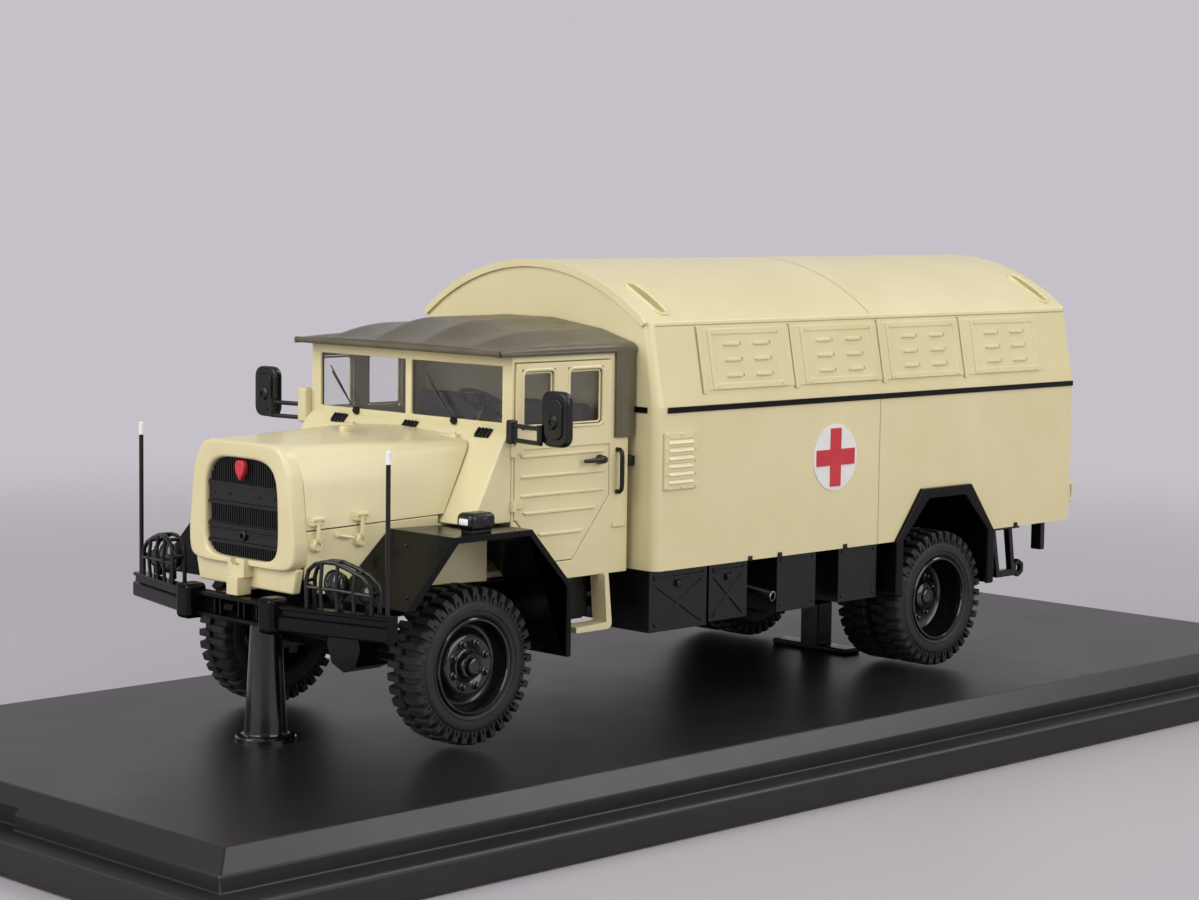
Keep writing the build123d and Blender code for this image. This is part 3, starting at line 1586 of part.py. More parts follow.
front_tyre = tyre(0, front_tyre_face_y, front_tyre_width)
inner_twin_face_y = rear_tyre_face_y - twin_tyre_width - twin_gap
rear_tyres = tyre(rear_axle_x, rear_tyre_face_y, twin_tyre_width)
rear_tyres += tyre(rear_axle_x, inner_twin_face_y, twin_tyre_width, inner_turn=0)
for side, turn in (("left", lambda shape: shape), ("right", other_side)):
    write(f"front_{side}_tyre", turn(front_tyre))
    write(f"front_{side}_rim", turn(front_rim()))
    write(f"rear_{side}_tyres", turn(rear_tyres))
    write(f"rear_{side}_rims", turn(rear_rims()))
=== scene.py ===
"""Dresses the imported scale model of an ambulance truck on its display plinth.

Metres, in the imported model's own frame: +X to the truck's front, +Y to its left, +Z up.
Sizes are written in millimetres and turned to metres where a mesh is made.
"""

import json
from itertools import product
from math import copysign, cos, dist, pi, radians, sin

import bmesh
import bpy
from mathutils import Matrix, Vector


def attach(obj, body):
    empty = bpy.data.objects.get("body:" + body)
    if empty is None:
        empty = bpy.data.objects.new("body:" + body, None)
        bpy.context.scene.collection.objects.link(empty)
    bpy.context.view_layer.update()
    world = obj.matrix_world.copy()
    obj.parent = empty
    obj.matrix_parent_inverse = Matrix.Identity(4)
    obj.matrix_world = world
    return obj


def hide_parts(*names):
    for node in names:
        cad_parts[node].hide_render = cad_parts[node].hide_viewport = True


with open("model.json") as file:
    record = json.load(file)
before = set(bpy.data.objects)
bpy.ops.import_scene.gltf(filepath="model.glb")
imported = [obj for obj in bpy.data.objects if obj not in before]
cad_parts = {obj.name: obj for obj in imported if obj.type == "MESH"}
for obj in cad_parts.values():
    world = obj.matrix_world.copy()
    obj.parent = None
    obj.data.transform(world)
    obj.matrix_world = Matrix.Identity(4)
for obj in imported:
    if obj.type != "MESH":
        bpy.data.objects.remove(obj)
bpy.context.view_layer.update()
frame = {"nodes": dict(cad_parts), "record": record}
scene = bpy.context.scene

mm = 0.001
deck_height = 9.4
front_axle_x = 60.35


# Colours and shader nodes
def linear(hex_colour):
    """An sRGB hex colour as linear red, green, blue and a full alpha."""
    channels = []
    for start in (1, 3, 5):
        value = int(hex_colour[start : start + 2], 16) / 255
        channels.append(value / 12.92 if value <= 0.04045 else ((value + 0.055) / 1.055) ** 2.4)
    return (*channels, 1.0)


def add(tree, kind, inputs=None, **settings):
    """Adds a shader node, sets its settings, and sets or links its inputs."""
    made = tree.nodes.new("ShaderNode" + kind)
    for name, value in settings.items():
        setattr(made, name, value)
    for name, value in (inputs or {}).items():
        if isinstance(value, bpy.types.NodeSocket):
            tree.links.new(value, made.inputs[name])
        else:
            made.inputs[name].default_value = value
    return made


def drift(tree, low, high, patch_mm):
    """A value that drifts from low to high in patches of that size, as noise lies mostly from 0.3 to 0.7."""
    place = add(tree, "TexCoord").outputs["Object"]
    inputs = {"Vector": place, "Scale": 1 / (patch_mm * mm), "Detail": 2.0, "Roughness": 0.55}
    patches = add(tree, "TexNoise", inputs).outputs["Fac"]
    inputs = {"Value": patches, "From Min": 0.3, "From Max": 0.7, "To Min": low, "To Max": high}
    return add(tree, "MapRange", inputs).outputs["Result"]


def grained(grain_mm, depth_mm):
    """A fine grain or orange peel of that size and depth."""

    def peel(tree):
        place = add(tree, "TexCoord").outputs["Object"]
        inputs = {"Vector": place, "Scale": 1 / (grain_mm * mm), "Detail": 3.0, "Roughness": 0.55}
        inputs = {"Height": add(tree, "TexNoise", inputs).outputs["Fac"], "Distance": depth_mm * mm}
        return add(tree, "Bump", inputs).outputs["Normal"]

    return peel


def woven(thread_mm, depth_mm):
    """A plain weave of two sets of threads of that width, raised by that depth."""

    def weave(tree):
        place = add(tree, "TexCoord").outputs["Object"]
        # Bands repeat every 0.31 / scale, over a thread and the one beneath it
        inputs = {"Vector": place, "Scale": 0.16 / (thread_mm * mm), "Distortion": 0.4, "Detail": 1.0}
        warp = add(tree, "TexWave", inputs, wave_type="BANDS", bands_direction="X").outputs["Fac"]
        weft = add(tree, "TexWave", inputs, wave_type="BANDS", bands_direction="Y").outputs["Fac"]
        crossed = add(tree, "Math", {0: warp, 1: weft}, operation="MAXIMUM").outputs[0]
        return add(tree, "Bump", {"Height": crossed, "Distance": depth_mm * mm}).outputs["Normal"]

    return weave


def surface(name, colours, roughness, relief=None, **constants):
    """A material that drifts between two hex colours and two roughnesses, each pair with its patch size."""
    made = bpy.data.materials.new(name)
    made.use_nodes = True
    tree = made.node_tree
    shader = tree.nodes["Principled BSDF"]
    first, second, patch_mm = colours
    inputs = {"Factor": drift(tree, 0, 1, patch_mm), "A": linear(first), "B": linear(second)}
    tree.links.new(add(tree, "Mix", inputs, data_type="RGBA").outputs["Result"], shader.inputs["Base Color"])
    tree.links.new(drift(tree, *roughness), shader.inputs["Roughness"])
    if relief:
        tree.links.new(relief(tree), shader.inputs["Normal"])
    for socket, value in constants.items():
        shader.inputs[socket.replace("_", " ")].default_value = value
    return made


# Finishes by CAD slot: columns are the name, colours, roughness, relief and constants. The grain of a real
# mould or spray is about 0.05 mm, too fine to show, so it is drawn at 0.2 to 0.4 mm
finishes = {
    # Sprayed enamel on a cast body: an even satin cream with a faint orange peel
    "cream_enamel": surface(
        "sprayed_cream_enamel", ("#E2D6A9", "#DBCE9F", 14), (0.30, 0.38, 6), grained(0.35, 0.006),
        IOR=1.5, Coat_Weight=0.15, Coat_Roughness=0.12,
    ),
    # Sprayed enamel on pressed parts: deep black with broad soft lights
    "black_enamel": surface(
        "sprayed_black_enamel", ("#090909", "#0D0D0E", 9), (0.18, 0.26, 5), grained(0.35, 0.002),
        IOR=1.5, Specular_IOR_Level=0.17,
    ),
    # Moulded polystyrene, satin: small lights on edges, no mirror
    "black_plastic": surface(
        "moulded_black_plastic", ("#0A0A0B", "#0F0F10", 7), (0.22, 0.34, 4), grained(0.25, 0.0015),
        IOR=1.55, Specular_IOR_Level=0.38,
    ),
    # Moulded polystyrene plate, spark-textured: a fine grain that breaks the reflection
    "plinth_black": surface(
        "spark_textured_black_plastic", ("#171516", "#1C1A1B", 20), (0.36, 0.39, 14), grained(0.30, 0.006),
        IOR=1.55, Specular_IOR_Level=0.36,
    ),
    # Soft moulded vinyl: matt black, greyer in random patches of wear
    "tyre_rubber": surface(
        "moulded_black_vinyl", ("#1B1B1B", "#242423", 5), (0.58, 0.72, 3), grained(0.25, 0.02), IOR=1.5,
    ),
    # Painted moulding of a canvas tilt: olive grey and dull. Threads of 0.02 mm would be too fine to show, so
    # they are drawn 0.45 mm wide
    "canvas_olive": surface(
        "painted_olive_tilt", ("#57513F", "#625C4B", 6), (0.3, 0.42, 3), woven(0.45, 0.02), IOR=1.5,
    ),
    # Moulded plastic of the cab's inside: mid grey-brown, dull
    "cab_grey": surface(
        "moulded_grey_plastic", ("#3A3733", "#45413B", 5), (0.5, 0.62, 3), grained(0.3, 0.015), IOR=1.5,
    ),
    # Pad-printed red ink: flat and slightly satin
    "red_enamel": surface(
        "printed_red_ink", ("#C42A35", "#CB3640", 3), (0.38, 0.46, 2), grained(0.2, 0.003), IOR=1.5,
    ),
    # Pad-printed white ink: clean white, slightly satin
    "white_enamel": surface(
        "printed_white_ink", ("#E9E8E4", "#E2E1DC", 3), (0.38, 0.46, 2), grained(0.2, 0.003), IOR=1.5,
    ),
    # Vacuum-plated plastic: a bright, slightly uneven mirror
    "bright_steel": surface(
        "plated_bright_plastic", ("#C9CACC", "#BFC0C3", 4), (0.12, 0.24, 2), Metallic=1.0,
    ),
    # Clear moulded polystyrene: thin panes with a faint grey and a clean reflection
    "clear_glazing": surface(
        "clear_moulded_styrene", ("#FCFCFC", "#F8F9F9", 12), (0.01, 0.03, 10),
        IOR=1.45, Transmission_Weight=1.0,
    ),
    # Smoky moulded lens: dark, with a sharp light on its dome
    "lamp_lens": surface(
        "smoky_lamp_lens", ("#2B2D2F", "#3E4144", 1.2), (0.08, 0.14, 1),
        IOR=1.5, Coat_Weight=0.6, Coat_Roughness=0.04, Metallic=0.2,
    ),
}
# Moulded polystyrene with a gloss coat: the rims catch bright rings of light
wheel_plastic = surface(
    "glossy_black_plastic", ("#0A0A0B", "#0F0F10", 6), (0.14, 0.22, 4), grained(0.4, 0.0015),
    IOR=1.55, Coat_Weight=0.3, Coat_Roughness=0.06,
)
# Brushed-on paint: bright satin white
white_tip = surface("painted_white_tip", ("#F0F0EC", "#E6E6E1", 2), (0.3, 0.4, 1), IOR=1.5)
# Painted shade at the bottom of a recess: the cream enamel drawn darker and dull, where the recess would be
# shaded
painted_recess_shade = surface("shaded_recess_paint", ("#A0975F", "#ADA369", 3), (0.5, 0.6, 2), IOR=1.5)
# The cream enamel in a hairline joint: a thin darker line, as its shade would draw it
joint_shade = surface("shaded_joint_paint", ("#A59C6B", "#9A9162", 5), (0.5, 0.6, 2), IOR=1.5)

slots = {part["node"]: part["material_slot"] for part in frame["record"]["subparts"]}
for node, thing in frame["nodes"].items():
    if not thing.material_slots:
        thing.data.materials.append(finishes[slots[node]])
    for place in thing.material_slots:
        place.material = finishes[slots[node]]


# Mesh helpers. Places are millimetres ahead of the front axle, to the truck's left, and above the deck
def at(x, y, z):
    """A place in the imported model's frame, in metres."""
    return Vector((x + front_axle_x, y, z + deck_height)) * mm


def along_x(y, z, x):
    """A corner of an outline seen from the front and carried along."""
    return at(x, y, z)


def along_y(x, z, y):
    """A corner of an outline seen from the side and carried across."""
    return at(x, y, z)


def between(first, second, share):
    """The place at a share of the way from one place to another."""
    return [a + share * (b - a) for a, b in zip(first, second)]


def loft(mesh, rings, closed=True, loop=False, capped=False):
    """Joins rings of vertices: each ring closed or open, the last joined to the first, or the ends capped."""
    faces = [mesh.faces.new(rings[0][::-1]), mesh.faces.new(rings[-1])] if capped else []
    for first, second in zip(rings, rings[1:] + (rings[:1] if loop else [])):
        for step in range(len(first) if closed else len(first) - 1):
            after = (step + 1) % len(first)
            faces.append(mesh.faces.new((first[step], first[after], second[after], second[step])))
    return faces


def round_edges(mesh, edges, width, steps, clamped=False):
    """Rounds edges by a width in millimetres."""
    settings = {"segments": steps, "profile": 0.5, "affect": "EDGES", "clamp_overlap": clamped}
    bmesh.ops.bevel(mesh, geom=edges, offset=width * mm, **settings)


def prism(mesh, outline, start, end, placed, edge=0.0, steps=2):
    """Adds an outline carried from start to end, with its edges rounded by a width."""
    ends = [[mesh.verts.new(placed(*corner, along)) for corner in outline] for along in (start, end)]
    faces = loft(mesh, ends, capped=True)
    if edge:
        round_edges(mesh, list(dict.fromkeys(line for face in faces for line in face.edges)), edge, steps)


def block(mesh, xs, ys, zs, edge=0.0, steps=2):
    """Adds a box between pairs of places, with its edges rounded by a width."""
    outline = [(xs[0], ys[0]), (xs[1], ys[0]), (xs[1], ys[1]), (xs[0], ys[1])]
    prism(mesh, outline, *zs, at, edge, steps)


def round_ring(mesh, centre, run, side, radius, steps):
    """Vertices in a circle about a centre, across a run."""
    other = run.cross(side)
    turns = [2 * pi * turn / steps for turn in range(steps)]
    return [mesh.verts.new(centre + (side * cos(a) + other * sin(a)) * radius * mm) for a in turns]


def bar(mesh, places, radius, sides=10, ring=False):
    """Adds a round bar through places, closed into a ring or capped at its ends."""
    spots = [at(*place) for place in places]
    count = len(spots)
    loops = []
    side = None
    for step, spot in enumerate(spots):
        run = Vector()
        if step or ring:
            run += (spot - spots[step - 1]).normalized()
        if step < count - 1 or ring:
            run += (spots[(step + 1) % count] - spot).normalized()
        run.normalize()
        side = run.orthogonal() if side is None else side - side.dot(run) * run
        side.normalize()
        loops.append(round_ring(mesh, spot, run, side, radius, sides))
    loft(mesh, loops, loop=ring, capped=not ring)


def turned(mesh, middle, axis, profile, steps=48, loop=False):
    """Adds a form turned about an axis through a middle, from a profile of (radius, distance along)."""
    run = Vector(axis).normalized()
    side = run.orthogonal().normalized()
    rings = []
    for radius, along in profile:
        centre = at(*middle) + run * along * mm
        rings.append(round_ring(mesh, centre, run, side, radius, steps if radius else 1))
    for first, second in zip(rings, rings[1:] + (rings[:1] if loop else [])):
        for turn in range(steps):
            after = (turn + 1) % steps
            near = [first[turn % len(first)], first[after % len(first)]]
            corners = near + [second[after % len(second)], second[turn % len(second)]]
            if len(set(corners)) > 2:
                mesh.faces.new(list(dict.fromkeys(corners)))


def stud(mesh, middle, axis, radius, height, steps=10):
    """Adds a rivet, nut or screw head with a rounded rim."""
    profile = [(radius, -0.05), (radius, height * 0.6), (radius * 0.72, height), (0, height)]
    turned(mesh, middle, axis, profile, steps)


def studs(mesh, xs, ys, zs, radius, height, axis=(0, 1, 0), steps=8):
    """Adds a head at each crossing of these places."""
    for place in product(xs, ys, zs):
        stud(mesh, place, axis, radius, height, steps)


def both_sides(mesh):
    """Copies all of a mesh to the truck's other side."""
    parts = mesh.verts[:] + mesh.edges[:] + mesh.faces[:]
    copied = bmesh.ops.duplicate(mesh, geom=parts)["geom"]
    for vert in (part for part in copied if isinstance(part, bmesh.types.BMVert)):
        vert.co.y = -vert.co.y


def linked(name, data):
    """An object of this data, in the scene."""
    thing = bpy.data.objects.new(name, data)
    scene.collection.objects.link(thing)
    return thing


def smooth_object(name, mesh, finish):
    """Turns a bmesh into a smooth object in one finish."""
    data = bpy.data.meshes.new(name)
    mesh.to_mesh(data)
    mesh.free()
    data.materials.append(finish)
    for face in data.polygons:
        face.use_smooth = True
    return linked(name, data)


def keep(name, mesh, node=None, slot=None, body="model", smooth_angle=35, finish=None):
    """Makes a bmesh a visible piece, in another slot than its CAD node's where one is given."""
    slot = slot or slots[node]
    bmesh.ops.recalc_face_normals(mesh, faces=mesh.faces)
    thing = smooth_object(name, mesh, finish or finishes[slot])
    thing.data.set_sharp_from_angle(angle=radians(smooth_angle))
    weighted = thing.modifiers.new("flat_faces_stay_flat", "WEIGHTED_NORMAL")
    weighted.keep_sharp = True
    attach(thing, body)
    if node:
        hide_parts(node)


def soften(node, width, steps):
    """Puts a copy of a CAD node with its edges rounded by a width in its place."""
    mesh = bmesh.new()
    mesh.from_mesh(frame["nodes"][node].data)
    bmesh.ops.remove_doubles(mesh, verts=mesh.verts, dist=0.002 * mm)
    bmesh.ops.dissolve_limit(mesh, angle_limit=radians(0.7), verts=mesh.verts, edges=mesh.edges)
    sharp = [line for line in mesh.edges if line.is_manifold and line.calc_face_angle(0) > radians(30)]
    round_edges(mesh, sharp, width, steps, clamped=True)
    keep(node + "_rounded", mesh, node, smooth_angle=40)


# Tyres: a turned carcass, and two staggered rows of lugs that stand on two legs over the shoulder
tread_floor = 10.7
lugs_per_row = 36
axle_height = 12.0


def lug(mesh, angle, half_width, middle, side, outline):
    """Adds one lug: a section of (radius, y) carried across an angle, narrower at its head."""
    mean = sum(radius for radius, _ in outline) / len(outline)
    ends = []
    for end in (-1, 1):
        ring = []
        for radius, y in outline:
            turn = radians(angle + end * half_width * (1.0 if radius < mean else 0.88))
            place = (middle[0] + radius * cos(turn), middle[1] + side * y, middle[2] + radius * sin(turn))
            ring.append(mesh.verts.new(at(*place)))
        ends.append(ring)
    loft(mesh, ends, capped=True)


def tyre(mesh, middle, side, width):
    """One tyre about its middle, its outer face towards that side."""
    half = width / 2
    wall = [
        (6.95, half - 0.9), (7.2, half - 0.35), (7.5, half - 0.14), (7.7, half - 0.1), (7.78, half - 0.2),
        (7.95, half - 0.2), (8.05, half - 0.04), (8.3, half), (8.9, half - 0.02), (9.25, half - 0.12),
        (9.4, half - 0.3), (10.2, half - 0.5), (10.55, half - 0.85), (tread_floor, half - 1.5),
    ]
    profile = wall + [(radius, -y) for radius, y in reversed(wall)]
    turned(mesh, middle, (0, side, 0), profile, 72, loop=True)
    pitch = 360 / lugs_per_row
    head = [
        (10.2, half - 1.0), (10.25, half - 0.1), (11.1, half - 0.12), (11.4, half - 0.4), (11.5, half - 1.0),
        (11.5, 0.25), (tread_floor - 0.3, 0.25), (tread_floor - 0.3, half - 1.6),
    ]
    leg = [
        (9.45, half - 0.7), (9.45, half - 0.16), (10.4, half - 0.06), (10.6, half - 0.14), (10.6, half - 0.8),
    ]
    for step in range(lugs_per_row):
        for turn, way in ((step * pitch, 1), ((step + 0.5) * pitch, -1)):
            lug(mesh, turn, 2.8, middle, side, [(radius * 0.998, way * y) for radius, y in head])
            for lean in (-1.95, 1.95):
                lug(mesh, turn + lean, 0.85, middle, side, [(radius, way * y) for radius, y in leg])


# Wheels: the rims' sections as (radius, y), from the bore out to the flange and in to the hub's cap
front_rim_section = (
    (0, 24.8), (1.26, 24.8), (1.26, 19.45), (2.2, 19.45), (2.2, 22.0), (6.1, 22.3), (6.3, 19.6), (6.6, 19.45),
    (6.9, 19.55), (6.9, 24.4), (7.02, 24.75), (7.02, 25.0), (6.85, 25.14), (6.6, 25.1), (6.42, 24.85),
    (6.34, 24.3), (6.0, 23.0), (5.8, 22.7), (5.45, 22.62), (5.15, 22.8), (4.75, 23.5), (4.45, 23.85),
    (4.1, 23.98), (3.8, 23.95), (2.75, 23.8), (2.45, 23.62), (2.2, 23.7), (2.05, 24.3), (1.85, 24.6),
    (1.5, 24.66), (1.42, 25.2), (1.3, 25.45), (1.05, 25.56), (0.8, 25.56), (0.72, 25.4), (0, 25.4),
)
rear_rim_section = (
    (0, 24.2), (1.26, 24.2), (1.26, 14.55), (2.6, 14.55), (2.6, 17.5), (6.2, 17.8), (6.3, 14.7), (6.6, 14.55),
    (6.9, 14.65), (6.9, 19.3), (6.6, 19.5), (4.6, 19.8), (4.6, 21.4), (6.6, 21.7), (6.9, 21.85), (6.9, 26.4),
    (7.02, 26.75), (7.02, 27.0), (6.85, 27.14), (6.6, 27.1), (6.42, 26.85), (6.34, 26.3), (6.1, 23.4),
    (5.85, 22.7), (5.4, 22.42), (4.6, 22.4), (3.0, 22.55), (2.75, 22.75), (2.6, 23.6), (2.35, 24.2),
    (1.9, 24.45), (1.5, 24.5), (1.42, 24.8), (1.2, 24.95), (0.8, 24.97), (0.72, 24.85), (0, 24.85),
)
nut_on_stud = ((0.62, -0.2), (0.62, 0.12), (0.5, 0.2), (0.42, 0.2), (0.4, 0.62), (0.26, 0.72), (0, 0.72))
front_face, rear_face = 25.3, 27.3
twin_pitch = 7.2
# Columns are the end, its x, each tyre's outer face, the tyres' width, the rim, its nuts' circle, y and count
wheel_sets = (
    ("front", 0.0, (front_face,), 6.5, front_rim_section, 3.3, 23.88, 8),
    ("rear", -104.5, (rear_face, rear_face - twin_pitch), 6.2, rear_rim_section, 3.8, 22.48, 10),
)
for end, x, faces, width, section, circle, nut_y, nuts in wheel_sets:
    for hand, side in (("left", 1), ("right", -1)):
        many = "s" if end == "rear" else ""
        body = f"{end}_{hand}_wheel{many}"
        rubber = bmesh.new()
        for face_y in faces:
            tyre(rubber, (x, side * (face_y - width / 2), axle_height), side, width)
        node = f"{end}_{hand}_tyre{many}"
        keep(node + "_lugged", rubber, node, body=body)
        rim = bmesh.new()
        axis = (0, side, 0)
        turned(rim, (x, 0, axle_height), axis, section, 72)
        for nut in range(nuts):
            turn = 2 * pi * (nut + 0.5) / nuts
            place = (x + circle * cos(turn), side * nut_y, axle_height + circle * sin(turn))
            turned(rim, place, axis, nut_on_stud, 12)
        node = f"{end}_{hand}_rim{many}"
        keep(node + "_turned", rim, node, body=body, finish=wheel_plastic)


# Rounded copies of the nodes whose form is right: columns are the edge's width in millimetres and its steps
edge_widths = {
    "plinth": (0.45, 3), "rear_stand": (0.3, 2), "chassis_frame": (0.12, 2), "leaf_springs": (0.1, 1),
    "front_axle": (0.3, 2), "rear_axle": (0.3, 2), "propeller_shafts": (0.2, 2), "engine_block": (0.4, 2),
    "side_panels": (0.15, 2), "scuttle": (0.3, 3), "front_wings": (0.2, 3), "cab_shell": (0.2, 3),
    "cab_doors": (0.11, 2), "cab_seats": (0.9, 3), "dashboard": (0.4, 3), "box_lower": (0.25, 3),
    "belt_strips": (0.08, 2), "vent_flaps": (0.12, 2), "vent_panels": (0.1, 2), "rear_door": (0.15, 2),
    "rear_mudguards": (0.25, 3), "side_lockers": (0.12, 2), "rear_brackets": (0.2, 2),
    "rear_lamps": (0.15, 2),
}
for node, (width, steps) in edge_widths.items():
    soften(node, width, steps)


# Front pillar: a tapered round post on a flange
mesh = bmesh.new()
pillar = (
    (0, 0), (4.45, 0), (4.45, 0.55), (4.25, 0.78), (3.6, 0.8), (3.25, 1.0), (3.1, 1.6), (2.25, 17.2),
    (2.2, 17.4), (0, 17.4),
)
turned(mesh, (18.0, 0, 0), (0, 0, 1), pillar)
keep("front_pillar_turned", mesh, "front_pillar", finish=wheel_plastic)


# Radiator shell: a rounded frame lofted from its outer outline to its opening, with an apron and a draw jaw
opening_half, opening_z, opening_rise, opening_drop = 8.3, 34.2, 7.1, 7.3


def bowed(value, power):
    """A sine or cosine drawn towards one by a power, its sign kept."""
    return copysign(abs(value) ** power, value)


def shell_outline(turn):
    """The shell's outer outline at a turn: boxy below, rounded above, drawn in towards its top."""
    power = 0.21 if sin(turn) > 0 else 0.2
    rise = bowed(sin(turn), power)
    return 12.25 * bowed(cos(turn), power) * (1 - 0.24 * max(0.0, rise) ** 1.5), 34.85 + 8.85 * rise


def grille_outline(turn):
    """The opening's outline at a turn: upright sides, an arched head and a bowed foot."""
    if sin(turn) > 0:
        return opening_half * bowed(cos(turn), 0.5), opening_z + opening_rise * bowed(sin(turn), 0.62)
    return opening_half * bowed(cos(turn), 0.3), opening_z + opening_drop * bowed(sin(turn), 0.35)


# Columns are the x, and the share of the way from the outer outline to the opening
shell_section = (
    (20.3, 0.0), (21.9, 0.0), (22.4, 0.02), (22.6, 0.06), (22.69, 0.14), (22.7, 0.3), (22.7, 0.8),
    (22.62, 0.92), (22.4, 0.985), (22.1, 1.0), (20.5, 1.0),
)
shell_turns = [2 * pi * (step + 0.5) / 96 for step in range(96)]
mesh = bmesh.new()
rings = []
for x, share in shell_section:
    places = [between(shell_outline(turn), grille_outline(turn), share) for turn in shell_turns]
    rings.append([mesh.verts.new(at(x, *place)) for place in places])
loft(mesh, rings, loop=True)
prism(mesh, [(-10.9, 22.75), (10.9, 22.75), (11.8, 26.4), (-11.8, 26.4)], 20.35, 21.75, along_x, 0.35, 3)
jaw = [
    (-1.9, 24.3), (1.9, 24.3), (1.9, 26.9), (1.15, 26.9), (0.85, 25.9), (-0.85, 25.9), (-1.15, 26.9),
    (-1.9, 26.9),
]
prism(mesh, jaw, 21.6, 23.5, along_x, 0.18)
block(mesh, (21.6, 24.2), (-1.3, 1.3), (21.75, 24.45), 0.2)
keep("radiator_shell_lofted", mesh, "radiator_shell", smooth_angle=45)


# Radiator grille: fine upright slats, and two plain bands across them with ledges
def grille_span(y):
    """The foot and head of the opening at some y."""
    share = abs(y) / opening_half
    foot = opening_z - opening_drop * (1 - share**6.67) ** 0.175
    return foot, opening_z + opening_rise * (1 - share**4) ** 0.31


slat_count = 31
band_ends = (-8.1, 8.1)
mesh = bmesh.new()
prism(mesh, [grille_outline(turn) for turn in shell_turns], 20.35, 20.9, along_x)
for count in range(slat_count):
    y = 8.2 * (2 * (count + 1) / (slat_count + 1) - 1)
    block(mesh, (20.8, 21.9), (y - 0.13, y + 0.13), grille_span(y), 0.06, 1)
for low, high in ((28.65, 31.8), (34.2, 37.7)):
    block(mesh, (20.9, 21.98), band_ends, (low, high), 0.12)
for z in (28.9, 31.35, 34.55, 37.35):
    block(mesh, (21.8, 22.25), band_ends, (z - 0.28, z + 0.28), 0.12)
block(mesh, (21.8, 22.15), band_ends, (30.3, 30.75), 0.1)
studs(mesh, (21.95,), (-6.9, -3.4, 3.4, 6.9), (36.0,), 0.28, 0.18, (1, 0, 0), 10)
ferrule = ((0.75, 0), (0.75, 0.4), (0.62, 0.5), (0.4, 0.5), (0.36, 0.2), (0, 0.2))
turned(mesh, (21.9, 0, 30.1), (1, 0, 0), ferrule, 20)
keep("radiator_grille_slatted", mesh, "radiator_grille")

mesh = bmesh.new()
boss = [(-0.75, 41.0), (0.75, 41.0), (1.1, 40.4), (0.95, 39.3), (0.0, 37.95), (-0.95, 39.3), (-1.1, 40.4)]
prism(mesh, boss, 21.9, 22.95, along_x, 0.3, 3)
keep("grille_boss_rounded", mesh, "grille_boss")


# Bonnet: a skin lofted from the rounded shell back to the square-shouldered scuttle
def even_places(line, count):
    """Places evenly along a line of corners."""
    lengths = [0.0]
    for first, second in zip(line, line[1:]):
        lengths.append(lengths[-1] + dist(first, second))
    places = []
    for step in range(count):
        reach = lengths[-1] * step / (count - 1)
        piece = max(index for index, length in enumerate(lengths[:-1]) if length <= reach + 1e-9)
        share = (reach - lengths[piece]) / (lengths[piece + 1] - lengths[piece])
        places.append(between(line[piece], line[piece + 1], share))
    return places


def whole_line(upright, top):
    """A line over the bonnet from its left foot to its right one, from the left half's side and top."""
    half = even_places(upright, 18) + even_places(top, 24)[1:]
    return half + [(-y, z) for y, z in reversed(half[:-1])]


quarter = [shell_outline(pi / 2 * step / 90) for step in range(91)]
front_line = whole_line([(12.2, 31.9)] + quarter[1:46], quarter[45:])
rear_line = whole_line(
    [(17.8, 33.5), (16.9, 41.7), (16.65, 42.7), (16.2, 43.2), (15.7, 43.42)],
    [(15.7, 43.42), (14.6, 43.64), (8.0, 44.2), (0.0, 44.6)],
)
scuttle_slope = ((-1.0, 31.8), (-7.2, 43.6), (-8.9, 45.4))
bonnet_front, bonnet_length, bonnet_stations = 20.3, 28.8, 24


def ahead_of_scuttle(z):
    """The x just ahead of the scuttle's slope at a height."""
    (x0, z0), (x1, z1) = scuttle_slope[:2] if z < scuttle_slope[1][1] else scuttle_slope[1:]
    return x0 + (x1 - x0) * (z - z0) / (z1 - z0) + 0.35


mesh = bmesh.new()
rows = []
for front, rear in zip(front_line, rear_line):
    reach = (bonnet_front - ahead_of_scuttle(rear[1])) / bonnet_length
    row = []
    for station in range(bonnet_stations + 1):
        share = reach * station / bonnet_stations
        row.append(mesh.verts.new(at(bonnet_front - bonnet_length * share, *between(front, rear, share))))
    rows.append(row)
loft(mesh, rows, closed=False)
bmesh.ops.recalc_face_normals(mesh, faces=mesh.faces)
bmesh.ops.solidify(mesh, geom=mesh.faces[:], thickness=0.5 * mm)
keep("bonnet_lofted", mesh, "bonnet", smooth_angle=60)


# Bonnet latches: two over-centre ones on each side, each on a boss, and a small lever
latch_boss = ((0.95, 0), (0.95, 0.85), (0.75, 1.1), (0.45, 1.1), (0.4, 0.8), (0, 0.8))
mesh = bmesh.new()
for x, y, z in ((19.0, 12.45, 31.95), (12.1, 13.75, 32.35)):
    block(mesh, (x - 1.0, x + 1.0), (y - 0.5, y + 0.75), (z + 0.55, z + 1.5), 0.25, 3)
    bar(mesh, [(x - 1.0, y + 0.55, z + 1.5), (x + 1.0, y + 0.55, z + 1.5)], 0.42, 12)
    bar(mesh, [(x, y + 0.7, z + 1.2), (x, y + 0.8, z - 0.2), (x, y + 0.72, z - 1.4)], 0.32)
    turned(mesh, (x, y - 0.3, z - 2.2), (0, 1, 0), latch_boss, 18)
    bar(mesh, [(x - 0.9, y + 0.3, z - 1.5), (x + 0.9, y + 0.3, z - 1.5)], 0.26)
bar(mesh, [(15.6, 12.6, 31.0), (15.0, 13.9, 30.9), (13.6, 14.2, 30.6)], 0.24, 8)
block(mesh, (15.1, 16.1), (12.4, 13.4), (30.6, 31.4), 0.2)
both_sides(mesh)
keep("bonnet_latches_formed", mesh, "bonnet_latches")

